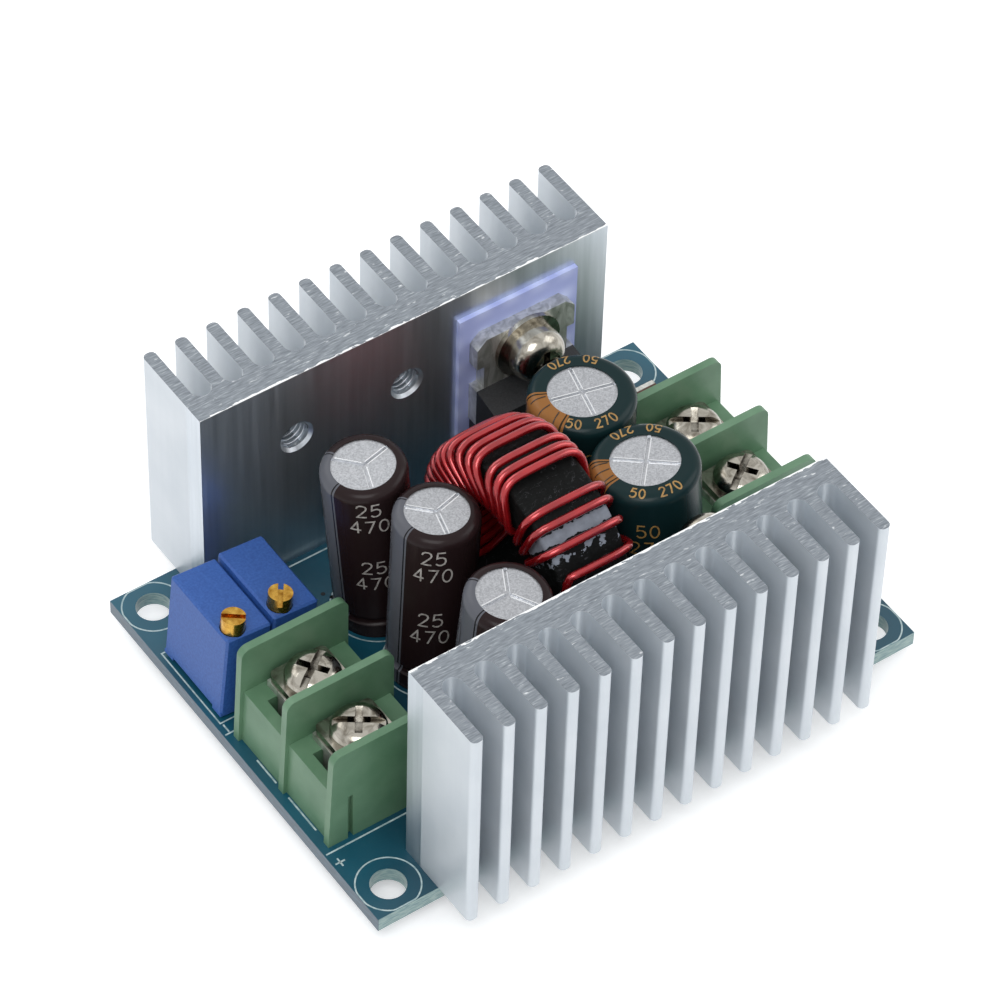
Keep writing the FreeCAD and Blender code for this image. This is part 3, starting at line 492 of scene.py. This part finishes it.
# The stripe of each sleeve: its middle in degrees round the can, and half its width in radians
stripes = {
    "output": {1: (156, 0.66), 2: (156, 0.66), 3: (156, 0.66)},
    "input": {1: (181, 0.57), 2: (165, 0.4)},
}
films = {
    "output": ("brownSleeveFilm", "#251a1b", "#5d5f66", "#1d1c20"),
    "input": ("greenSleeveFilm", "#12282a", "#8f6134", "#2b2417"),
}
for kind, sleeves in stripes.items():
    for number, (stripeTurn, halfStripe) in sleeves.items():
        film, *colours = films[kind]
        foot, head = canAxis(f"{kind}_capacitor_{number}_can")
        finishes[f"{kind}_capacitor_{number}_sleeve"] = shrinkSleeve(
            f"{film}{number}", *colours, math.radians(stripeTurn), halfStripe, foot, head)

for name, node in cad.items():
    material = finishes.get(name) or next((m for key, m in groups.items() if key in name), None)
    if material is None:
        print("no finish for", name)
        continue
    for place in node.material_slots:
        place.material = material
print("finishes given")


# Inductor winding: one stiff wire, which bows over the core instead of lying flat on it
winding = {
    "wireRadius": 0.4, "coreRadius": 9.0, "halfWidth": 4.35, "outerCrown": 2.9, "boreCrown": 2.75,
    "squareness": 4.0,
    "spacedTurns": (144.8, 131.5, 120.7, 113.5), "bunchedTurns": (93.8, 88.6, 82.0, 70.5, 64.0, 55.5, 46.0),
    "evenTurns": 11, "evenStep": 7.5, "boreFirst": 143.0, "boreStep": 8.66,
    "pointsPerTurn": 64, "sides": 16, "wander": 0.35, "tinnedFrom": 0.3, "tipRadius": 0.42, "leadFoot": -1.9,
    "tipDepth": 0.5, "tipSpread": 2, "leadBend": 0.9, "kneeDrop": 1.1, "kneeHeight": 1.2,
}


def windingPoint(across, radius, turn):
    angle = math.radians(turn)
    return coreCentre + Vector((across, radius * math.cos(angle), radius * math.sin(angle))) * mm


def windingPath():
    random.seed(4)
    turns = list(winding["spacedTurns"] + winding["bunchedTurns"])
    turns += [turns[-1] - winding["evenStep"] * (n + 1) for n in range(winding["evenTurns"])]
    count = winding["pointsPerTurn"]
    points = []
    for index, turn in enumerate(turns):
        last = index == len(turns) - 1
        bore = winding["boreFirst"] - winding["boreStep"] * index
        following = turn if last else turns[index + 1]
        # A turn runs along the outside of the core, down one side, back through the bore and up the other
        stations = ((135, turn), (45, turn), (-45, bore), (-135, bore - winding["boreStep"]),
                    (-225, following))
        sway = random.uniform(-1, 1) * winding["wander"]
        for step in range(count):
            way = 135 - 360 * step / count
            if last and way < 45:
                break
            for (high, fromTurn), (low, toTurn) in zip(stations, stations[1:]):
                if low <= way <= high:
                    share = (high - way) / (high - low)
                    share = share * share * (3 - 2 * share)
                    ring = fromTurn + (toTurn - fromTurn) * share
            angle = math.radians(way)
            crown = winding["outerCrown"] if math.sin(angle) > 0 else winding["boreCrown"]
            power = winding["squareness"]
            reach = (abs(math.cos(angle) / winding["halfWidth"]) ** power
                     + abs(math.sin(angle) / crown) ** power) ** (-1 / power)
            ring += sway * max(0.0, math.sin(angle))
            radius = winding["coreRadius"] + reach * math.sin(angle)
            points.append(windingPoint(reach * math.cos(angle), radius, ring))
    return points


# A lead from the end of the winding down through its own hole in the board, with a soft bend at its top
def windingLead(end, beyond):
    tipTop = boardLow.z - winding["tipDepth"] * mm
    tips = [v.co for v in cad["inductor_winding"].data.vertices if v.co.z < tipTop]
    nearest = min(tips, key=lambda tip: (tip.xy - end.xy).length)
    ring = [tip for tip in tips if (tip.xy - nearest.xy).length < winding["tipSpread"] * mm]
    hole = [(min(tip[i] for tip in ring) + max(tip[i] for tip in ring)) / 2 for i in range(2)]
    bend = end + (end - beyond).normalized() * winding["leadBend"] * mm
    knee = Vector((*hole, min(bend.z - winding["kneeDrop"] * mm, boardTop + winding["kneeHeight"] * mm)))
    shares = (0.2, 0.4, 0.6, 0.8, 1.0)
    curve = [(1 - t) ** 2 * end + 2 * t * (1 - t) * bend + t * t * knee for t in shares]
    return curve + [Vector((*hole, boardTop)), Vector((*hole, boardLow.z + winding["tinnedFrom"] * mm))]


def buildWinding():
    points = windingPath()
    start = windingLead(points[0], points[1])
    finish = windingLead(points[-1], points[-2])
    path = list(reversed(start)) + points + finish
    rings, faces = tube(path, winding["wireRadius"] * mm, winding["sides"])
    piece = makePiece("woundWire", meshFrom("woundWire", rings, faces), finishes["inductor_winding"])
    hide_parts("inductor_winding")
    # Below the board the enamel is burnt off and the copper is tinned
    tips = []
    for lead in (start, finish):
        foot = lead[-1].copy()
        foot.z = winding["leadFoot"] * mm
        tips.append(tube([lead[-1], foot], winding["tipRadius"] * mm, winding["sides"]))
    points, faces = gather(tips)
    makePiece("windingLeadTips", meshFrom("windingLeadTips", points, faces), tinned,
              smooth=False)


buildWinding()
print("inductor wound")


# Printed lines and stamped ridges lie on the surface of what carries them, and stand a little proud of it
def surfaceOf(node):
    mesh = cad[node].data
    return BVHTree.FromPolygons([v.co for v in mesh.vertices], [tuple(p.vertices) for p in mesh.polygons])


def raisedLine(spots, width, proud, closed=False):
    # Each spot is a place with its surface normal. Corners are mitred, up to a limit
    mitreLimit = 0.6
    points, faces = [], []
    count = len(spots)
    for i, (place, normal) in enumerate(spots):
        before = (place - spots[i - 1][0]).normalized() if closed or i else None
        after = (spots[(i + 1) % count][0] - place).normalized() if closed or i + 1 < count else None
        along = ((before or after) + (after or before)).normalized()
        mitre = 1 / max(mitreLimit, along.dot(before or after))
        side = normal.cross(along).normalized() * width / 2 * mitre
        points += [place - side - normal * proud, place + side - normal * proud,
                   place + side + normal * proud, place - side + normal * proud]
    for i in range(count if closed else count - 1):
        a, b = 4 * i, 4 * ((i + 1) % count)
        faces += [(a + k, a + (k + 1) % 4, b + (k + 1) % 4, b + k) for k in range(4)]
    if not closed:
        last = 4 * (count - 1)
        faces += [(3, 2, 1, 0), (last, last + 1, last + 2, last + 3)]
    return points, faces


def ridePrint(name, shapes, material):
    points, faces = gather(shapes)
    makePiece(name, meshFrom(name, points, faces), material, smooth=False)


def finely(points, step):
    # The same path with no gap longer than the step
    fine = [points[0]]
    for start, end in zip(points, points[1:]):
        pieces = max(1, math.ceil(math.dist(start, end) / step))
        fine += [tuple(a + (b - a) * k / pieces for a, b in zip(start, end)) for k in range(1, pieces + 1)]
    return fine


# Board print: white epoxy ink, slightly broken up
def screenPrintedInk():
    material, tree, shader = startMaterial("screenPrintedInk", "#c9d3d2", 0.6)
    wear = addNode(tree, "TexNoise", {"Scale": 1 / (0.5 * mm), "Detail": 3.0}, {"Vector": objectPlace(tree)})
    tone = addNode(tree, "ValToRGB", {"stops": ((0.3, "#86a3a8"), (0.6, "#bccdce"))}, {0: wear})
    tree.links.new(tone.outputs[0], shader.inputs["Base Color"])
    return material


boardPrint = {
    "line": 0.14, "proud": 0.015, "holeInset": (3.0, 2.85), "ring": 2.97, "edgeMargin": 0.1,
    "trimmers": ((-29.45, 4.25), (-18.7, 14.25)), "footRings": {"output": 4.4, "input": 5.45},
    "lines": (
        ((-29.8, -13.75), (-19.0, -13.75)), ((-29.8, 2.85), (-24.0, 2.85)), ((-22.6, 16.6), (-5.5, 16.6)),
        ((-29.0, -1.2), (-29.0, -4.4)), ((-29.0, -6.4), (-29.0, -10.9)),
    ),
    "plus": (-29.2, -15.1), "minus": (-29.3, 3.5), "markSize": 0.5,
    "vias": ((-13.06, 12.07), (-12.57, 11.29)), "viaRadius": 0.12, "viaWidth": 0.2, "viaPoints": 20,
    "boldness": 1.15,
}


def onBoard(points):
    return [(Vector((x * mm, y * mm, boardTop)), Vector((0, 0, 1))) for x, y in points]


def ringPoints(x, y, radius, count=72):
    return [(x + radius * math.cos(2 * math.pi * k / count), y + radius * math.sin(2 * math.pi * k / count))
            for k in range(count)]


def buildBoardPrint():
    width, proud = boardPrint["line"] * mm, boardPrint["proud"] * mm
    shapes = []
    reach = [boardHigh[k] / mm - boardPrint["edgeMargin"] for k in range(2)]
    for sideX in (-1, 1):
        for sideY in (-1, 1):
            x = sideX * (boardHigh.x / mm - boardPrint["holeInset"][0])
            y = sideY * (boardHigh.y / mm - boardPrint["holeInset"][1])
            # The ring flattens a little where it meets the edges of the board
            ring = [[max(-reach[k], min(reach[k], spot[k])) for k in range(2)]
                    for spot in ringPoints(x, y, boardPrint["ring"])]
            shapes.append(raisedLine(onBoard(ring), width, proud, closed=True))
    (left, low), (right, high) = boardPrint["trimmers"]
    frameLine = [(left, low), (right, low), (right, high), (left, high)]
    shapes.append(raisedLine(onBoard(frameLine), width, proud, closed=True))
    for kind, sleeves in stripes.items():
        for number in sleeves:
            foot = canAxis(f"{kind}_capacitor_{number}_can")[0]
            ring = ringPoints(foot.x / mm, foot.y / mm, boardPrint["footRings"][kind])
            shapes.append(raisedLine(onBoard(ring), width, proud, closed=True))
    size = boardPrint["markSize"]
    (px, py), (nx, ny) = boardPrint["plus"], boardPrint["minus"]
    marks = [((px - size, py), (px + size, py)), ((px, py - size), (px, py + size)),
             ((nx, ny - size), (nx, ny + size))]
    for line in list(boardPrint["lines"]) + marks:
        shapes.append(raisedLine(onBoard(line), width * boardPrint["boldness"], proud))
    ridePrint("boardPrint", shapes, screenPrintedInk())
    # Two vias show as dark dots: painted shade of their open holes, made with the black epoxy finish
    rings = [ringPoints(x, y, boardPrint["viaRadius"], boardPrint["viaPoints"])
             for x, y in boardPrint["vias"]]
    shadeDots = [raisedLine(onBoard(ring), boardPrint["viaWidth"] * mm, proud, closed=True) for ring in rings]
    ridePrint("viaShadeDots", shadeDots, epoxy)


buildBoardPrint()
print("board printed")


# Capacitor print: plain ratings in thin single strokes, on the film and round its shoulder
def padPrintedInk(name, colour, dark):
    material, tree, shader = startMaterial(name, colour, 0.45)
    wear = addNode(tree, "TexNoise", {"Scale": 1 / (0.4 * mm), "Detail": 3.0}, {"Vector": objectPlace(tree)})
    tone = addNode(tree, "ValToRGB", {"stops": ((0.32, dark), (0.55, colour))}, {0: wear})
    tree.links.new(tone.outputs[0], shader.inputs["Base Color"])
    return material


figures = {
    "0": [(0.3 + 0.27 * math.sin(math.radians(t)), 0.5 + 0.5 * math.cos(math.radians(t)))
          for t in range(0, 361, 20)],
    "2": [(0.03, 0.75), (0.08, 0.9), (0.2, 0.99), (0.4, 0.99), (0.53, 0.9), (0.57, 0.75), (0.52, 0.6),
          (0.03, 0.0), (0.58, 0.0)],
    "4": [(0.42, 0.0), (0.42, 1.0), (0.02, 0.28), (0.6, 0.28)],
    "5": [(0.53, 1.0), (0.1, 1.0), (0.06, 0.55), (0.2, 0.62), (0.38, 0.62), (0.53, 0.5), (0.57, 0.3),
          (0.5, 0.1), (0.33, 0.0), (0.15, 0.01), (0.03, 0.12)],
    "7": [(0.03, 1.0), (0.57, 1.0), (0.2, 0.0)],
}
figurePitch, figureGap = 0.82, 0.22  # in figure heights


def figureStrokes(word, height):
    pitch = figurePitch * height
    start = -(len(word) * pitch - figureGap * height) / 2
    for index, letter in enumerate(word):
        yield [(start + index * pitch + x * height, (y - 0.5) * height) for x, y in figures[letter]]


def sleeveMapper(number, kind):
    name = f"{kind}_capacitor_{number}"
    foot, head = canAxis(f"{name}_can")
    surface = surfaceOf(f"{name}_sleeve")
    farOut, wellAbove = 12, 5 * mm

    def onSide(turn, down):
        share = 1 - down * mm / (head - foot).length
        centre = foot + (head - foot) * share
        away = Vector((math.cos(turn), math.sin(turn), 0))
        return surface.ray_cast(centre + away * farOut * mm, -away)[:2]

    def onShoulder(turn, radius):
        away = Vector((math.cos(turn), math.sin(turn), 0))
        return surface.ray_cast(head + away * radius * mm + Vector((0, 0, wellAbove)), Vector((0, 0, -1)))[:2]

    return onSide, onShoulder


brownPrint = {
    "radius": 4.05, "front": {1: 241, 2: 233, 3: 228}, "height": 1.6, "stroke": 0.16, "proud": 0.02,
    "rows": (("25", 1.45), ("470", 3.75), ("25", 9.7), ("470", 12.0)),
    "ovals": (4.4, 10.4, 16.0), "ovalSize": (0.42, 1.7), "ovalLine": 0.13, "ovalPoints": 28, "ovalPower": 0.7,
}
greenPrint = {
    "radius": 4.15, "height": 0.95, "stroke": 0.15, "proud": 0.025,
    "blocks": (("50", 224), ("270", 266), ("50", 44), ("270", 86)),
    "sideRadius": 5.1, "sideHeight": 1.5, "sideRows": (("50", 3.4), ("270", 5.6)), "sideTurns": (236, 56),
    "bandShares": (-0.45, -0.1, 0.3), "bandSpread": 1.6, "bandLine": 0.1, "bandSlant": 0.05,
    "bandRadii": (3.45, 3.8, 4.2, 4.6, 4.9), "bandInner": 3.4,
}
strokeStep = 0.25


def printedWord(word, height, ink, spotAt):
    # The strokes of one word: spotAt gives the place on the film for so far across and up
    lines = []
    for line in figureStrokes(word, height):
        spots = [spotAt(u, v) for u, v in finely(line, strokeStep)]
        lines.append(raisedLine([s for s in spots if s[0]], ink["stroke"] * mm, ink["proud"] * mm))
    return lines


def ovalPoints():
    width, height = brownPrint["ovalSize"]
    count = brownPrint["ovalPoints"]
    for turn in [2 * math.pi * k / count for k in range(count)]:
        squared = abs(math.cos(turn)) ** brownPrint["ovalPower"]
        yield width * math.copysign(squared, math.cos(turn)), height * math.sin(turn)


def buildBrownPrint():
    grey, dark = [], []
    radius = brownPrint["radius"]
    for number, stripe in stripes["output"].items():
        stripeTurn = math.radians(stripe[0])
        onSide = sleeveMapper(number, "output")[0]
        for front in (brownPrint["front"][number], brownPrint["front"][number] + 180):
            for word, down in brownPrint["rows"]:
                grey += printedWord(word, brownPrint["height"], brownPrint,
                                    lambda u, v: onSide(math.radians(front) + u / radius, down - v))
        for down in brownPrint["ovals"]:
            spots = [onSide(stripeTurn + u / radius, down - v) for u, v in ovalPoints()]
            dark.append(raisedLine([s for s in spots if s[0]], brownPrint["ovalLine"] * mm,
                                   brownPrint["proud"] * mm, closed=True))
    greyInk = padPrintedInk("greyFilmInk", "#b4afab", "#857f7b")
    blackInk = padPrintedInk("blackFilmInk", "#1e1d21", "#2c2b30")
    ridePrint("brownSleevePrint", grey, greyInk)
    ridePrint("brownSleeveOvals", dark, blackInk)


def buildGreenPrint():
    gold, umber = [], []
    radius, sideRadius = greenPrint["radius"], greenPrint["sideRadius"]
    for number, (stripeTurn, halfStripe) in stripes["input"].items():
        onSide, onShoulder = sleeveMapper(number, "input")
        for word, middle in greenPrint["blocks"]:
            gold += printedWord(word, greenPrint["height"], greenPrint,
                                lambda u, v: onShoulder(math.radians(middle) + u / radius, radius - v))
        for middle in greenPrint["sideTurns"]:
            for word, down in greenPrint["sideRows"]:
                gold += printedWord(word, greenPrint["sideHeight"], greenPrint,
                                    lambda u, v: onSide(math.radians(middle) + u / sideRadius, down - v))
        for share in greenPrint["bandShares"]:
            turn = math.radians(stripeTurn) + share * halfStripe * greenPrint["bandSpread"]
            spots = [onShoulder(turn + greenPrint["bandSlant"] * (r - greenPrint["bandInner"]), r)
                     for r in greenPrint["bandRadii"]]
            umber.append(raisedLine([s for s in spots if s[0]], greenPrint["bandLine"] * mm,
                                    2 * greenPrint["proud"] * mm))
    goldInk = padPrintedInk("goldFilmInk", "#a98348", "#7f6135")
    umberInk = padPrintedInk("umberFilmInk", "#2a1d12", "#3a2918")
    ridePrint("greenSleevePrint", gold, goldInk)
    ridePrint("greenSleeveBandLines", umber, umberInk)


buildBrownPrint()
buildGreenPrint()
print("sleeves printed")


# Vent scores: a thin lip on each side of every score, coloured bright as a painted highlight of the lit score
# edges
ventScores = {
    "output": {"turns": {1: 10, 2: 15, 3: 62}, "ways": 3, "reach": 2.8},
    "input": {"turns": {1: 76, 2: 48}, "ways": 4, "reach": 2.95},
    "offset": 0.19, "width": 0.1, "proud": 0.03, "inner": 0.3, "points": 8, "wellAbove": 4,
}


def highlightedScoreLip():
    # Painted highlight: near white and glossy, standing for the light that the score edges catch
    material, tree, shader = startMaterial("scoreLipPaintedHighlight", "#e6e8ea", 0.18, 1.0)
    wear = addNode(tree, "TexNoise", {"Scale": 1 / (0.4 * mm), "Detail": 2.0}, {"Vector": objectPlace(tree)})
    finish = addNode(tree, "MapRange", {3: 0.12, 4: 0.3}, {0: wear})
    tree.links.new(finish.outputs[0], shader.inputs["Roughness"])
    return material


def buildScoreLips():
    lips = []
    inner, last = ventScores["inner"], ventScores["points"] - 1
    wellAbove = Vector((0, 0, ventScores["wellAbove"] * mm))
    for kind in stripes:
        sort = ventScores[kind]
        for number, turn in sort["turns"].items():
            head = canAxis(f"{kind}_capacitor_{number}_can")[1]
            surface = surfaceOf(f"{kind}_capacitor_{number}_can")
            for way in range(sort["ways"]):
                angle = math.radians(turn + way * 360 / sort["ways"])
                along = Vector((math.cos(angle), math.sin(angle), 0))
                across = Vector((-along.y, along.x, 0))
                for side in (-1, 1):
                    spots = []
                    for step in range(last + 1):
                        reach = inner + (sort["reach"] - inner) * step / last
                        above = head + (along * reach + across * side * ventScores["offset"]) * mm
                        spots.append(surface.ray_cast(above + wellAbove, Vector((0, 0, -1)))[:2])
                    spots = [s for s in spots if s[0]]
                    if len(spots) > 1:
                        lips.append(raisedLine(spots, ventScores["width"] * mm, ventScores["proud"] * mm))
    ridePrint("ventScoreLips", lips, highlightedScoreLip())


buildScoreLips()
print("vents scored")


# Tapped holes: the crests of the thread, in the two holes of each heatsink that hold no screw
tappedThread = {
    "radius": 1.42, "crest": 0.13, "pitch": 0.5, "turns": 7, "steps": 28, "start": 0.45, "height": 16.6,
    "sides": 6,
    "places": {"rear_heatsink": (-12.45, -0.3), "front_heatsink": (-13.25, -1.1)},
}


def buildThreads():
    shapes = []
    for node, places in tappedThread["places"].items():
        way = 1 if node == "rear_heatsink" else -1
        for x in places:
            centre = Vector((x * mm, way * (heatsinkFace + tappedThread["start"] * mm),
                             boardTop + tappedThread["height"] * mm))
            path = []
            for step in range(tappedThread["turns"] * tappedThread["steps"] + 1):
                angle = 2 * math.pi * step / tappedThread["steps"]
                depth = tappedThread["pitch"] * step / tappedThread["steps"]
                path.append(centre + Vector((tappedThread["radius"] * math.cos(angle), way * depth,
                                             tappedThread["radius"] * math.sin(angle))) * mm)
            shapes.append(tube(path, tappedThread["crest"] * mm, tappedThread["sides"]))
    points, faces = gather(shapes)
    makePiece("tappedThreads", meshFrom("tappedThreads", points, faces), aluminium)


buildThreads()
print("holes tapped")


# Chip parts: a tinned cap on each end of every body
def solidBoxes(node):
    # The solids of a node lie apart: points joined by a face belong to one solid
    mesh = cad[node].data
    weld = 0.001 * mm
    owner = {}
    members = {}

    def root(key):
        while owner[key] != key:
            owner[key] = owner[owner[key]]
            key = owner[key]
        return key

    keys = [tuple(round(c / weld) for c in v.co) for v in mesh.vertices]
    for key in keys:
        owner.setdefault(key, key)
    for polygon in mesh.polygons:
        first = root(keys[polygon.vertices[0]])
        for other in polygon.vertices[1:]:
            owner[root(keys[other])] = first
    for vertex, key in zip(mesh.vertices, keys):
        members.setdefault(root(key), []).append(vertex.co)
    return [[Vector([pick(p[i] for p in group) for i in range(3)]) for pick in (min, max)]
            for group in members.values()]


chipEnds = {
    "share": 0.17, "proud": 0.02, "bevel": 0.05,
    "nodes": ("chip_resistors", "chip_capacitors", "current_shunts", "input_chip_capacitor"),
}


def buildChipEnds():
    bm = bmesh.new()
    for node in chipEnds["nodes"]:
        for low, high in solidBoxes(node):
            long = 0 if high.x - low.x > high.y - low.y else 1
            length = high[long] - low[long]
            for end in (0, 1):
                near, far = low.copy(), high.copy()
                if end:
                    near[long] = high[long] - length * chipEnds["share"]
                else:
                    far[long] = low[long] + length * chipEnds["share"]
                grow = Vector((1, 1, 1)) * chipEnds["proud"] * mm
                centre, size = (near + far) / 2, far - near + 2 * grow
                made = bmesh.ops.create_cube(bm, size=1.0, matrix=Matrix.Translation(centre)
                                             @ Matrix.Diagonal((*size, 1.0)))
                edges = list({edge for vertex in made["verts"] for edge in vertex.link_edges})
                bmesh.ops.bevel(bm, geom=edges, offset=chipEnds["bevel"] * mm, segments=2, affect="EDGES")
    mesh = bpy.data.meshes.new("chipEndCaps")
    bm.to_mesh(mesh)
    bm.free()
    makePiece("chipEndCaps", mesh, tinned, smooth=False)


buildChipEnds()
print("chip ends capped")


# The room: pale floor, white behind, soft lamps
room = {
    "floorSize": 3.0, "floorHeight": cadBox[0].z, "floorGlow": 0.35, "worldStrength": 0.62,
    "lamps": (
        ("keyLamp", (-0.35, -0.35, 0.75), 0.5, 3.2),
        ("fillLamp", (0.6, -0.25, 0.45), 0.5, 1.3),
        ("backLamp", (-0.1, 0.65, 0.55), 0.5, 1.2),
    ),
}


def seenDirectly(tree, rays):
    # One for the rays that see a surface themselves, and nothing for the light that it throws on the object
    light = addNode(tree, "LightPath")
    seen = light.outputs[rays[0]]
    for ray in rays[1:]:
        seen = addNode(tree, "Math", {"operation": "MAXIMUM"}, {0: seen, 1: light.outputs[ray]})
    return seen


def buildRoom():
    half = room["floorSize"] / 2
    corners = [(x * half, y * half, room["floorHeight"]) for x, y in ((-1, -1), (1, -1), (1, 1), (-1, 1))]
    mesh = meshFrom("floor", corners, [(0, 1, 2, 3)])
    floor = bpy.data.objects.new("floor", mesh)
    bpy.context.scene.collection.objects.link(floor)
    material, tree, shader = startMaterial("palePaperFloor", "#f2f3f4", 0.9)
    seen = seenDirectly(tree, ("Is Camera Ray", "Is Glossy Ray"))
    glow = addNode(tree, "Math", {"operation": "MULTIPLY", 1: room["floorGlow"]}, {0: seen})
    shader.inputs["Emission Color"].default_value = (1, 1, 1, 1)
    tree.links.new(glow.outputs[0], shader.inputs["Emission Strength"])
    mesh.materials.append(material)

    world = bpy.data.worlds.new("whiteRoom")
    bpy.context.scene.world = world
    world.use_nodes = True
    tree = world.node_tree
    back = tree.nodes["Background"]
    back.inputs["Color"].default_value = (1, 1, 1, 1)
    seen = seenDirectly(tree, ("Is Camera Ray", "Is Glossy Ray", "Is Transmission Ray"))
    strength = addNode(tree, "MapRange", {3: room["worldStrength"], 4: 1.0}, {0: seen})
    tree.links.new(strength.outputs[0], back.inputs["Strength"])

    for name, place, size, power in room["lamps"]:
        lamp = bpy.data.lights.new(name, "AREA")
        lamp.size = size
        lamp.energy = power
        holder = bpy.data.objects.new(name, lamp)
        holder.location = place
        holder.rotation_euler = (-Vector(place)).to_track_quat("-Z", "Y").to_euler()
        bpy.context.scene.collection.objects.link(holder)


# The camera: fitted to the corners and fins of both heatsinks and the corners of the board
cameraView = {
    "place": (-184.985 * mm, -250.333 * mm, 365.344 * mm), "azimuth": -36.193, "elevation": 48.153,
    "roll": 1.866, "lens": 185.41, "sensor": 36.0, "clip": (0.01, 10),
}


def buildCamera():
    azimuth, elevation, roll = (math.radians(cameraView[k]) for k in ("azimuth", "elevation", "roll"))
    back = Vector((math.sin(azimuth) * math.cos(elevation), -math.cos(azimuth) * math.cos(elevation),
                   math.sin(elevation)))
    right = Vector((0, 0, 1)).cross(back).normalized()
    up = back.cross(right)
    rolledRight = right * math.cos(roll) + up * math.sin(roll)
    rolledUp = up * math.cos(roll) - right * math.sin(roll)
    lens = bpy.data.cameras.new("photoCamera")
    lens.lens = cameraView["lens"]
    lens.sensor_width = cameraView["sensor"]
    lens.sensor_fit = "HORIZONTAL"
    lens.clip_start, lens.clip_end = cameraView["clip"]
    camera = bpy.data.objects.new("photoCamera", lens)
    turn = Matrix((rolledRight, rolledUp, back)).transposed().to_4x4()
    camera.matrix_world = Matrix.Translation(cameraView["place"]) @ turn
    bpy.context.scene.collection.objects.link(camera)
    bpy.context.scene.camera = camera


buildRoom()
buildCamera()
bpy.context.scene.view_settings.view_transform = "Standard"
print("room and camera set")
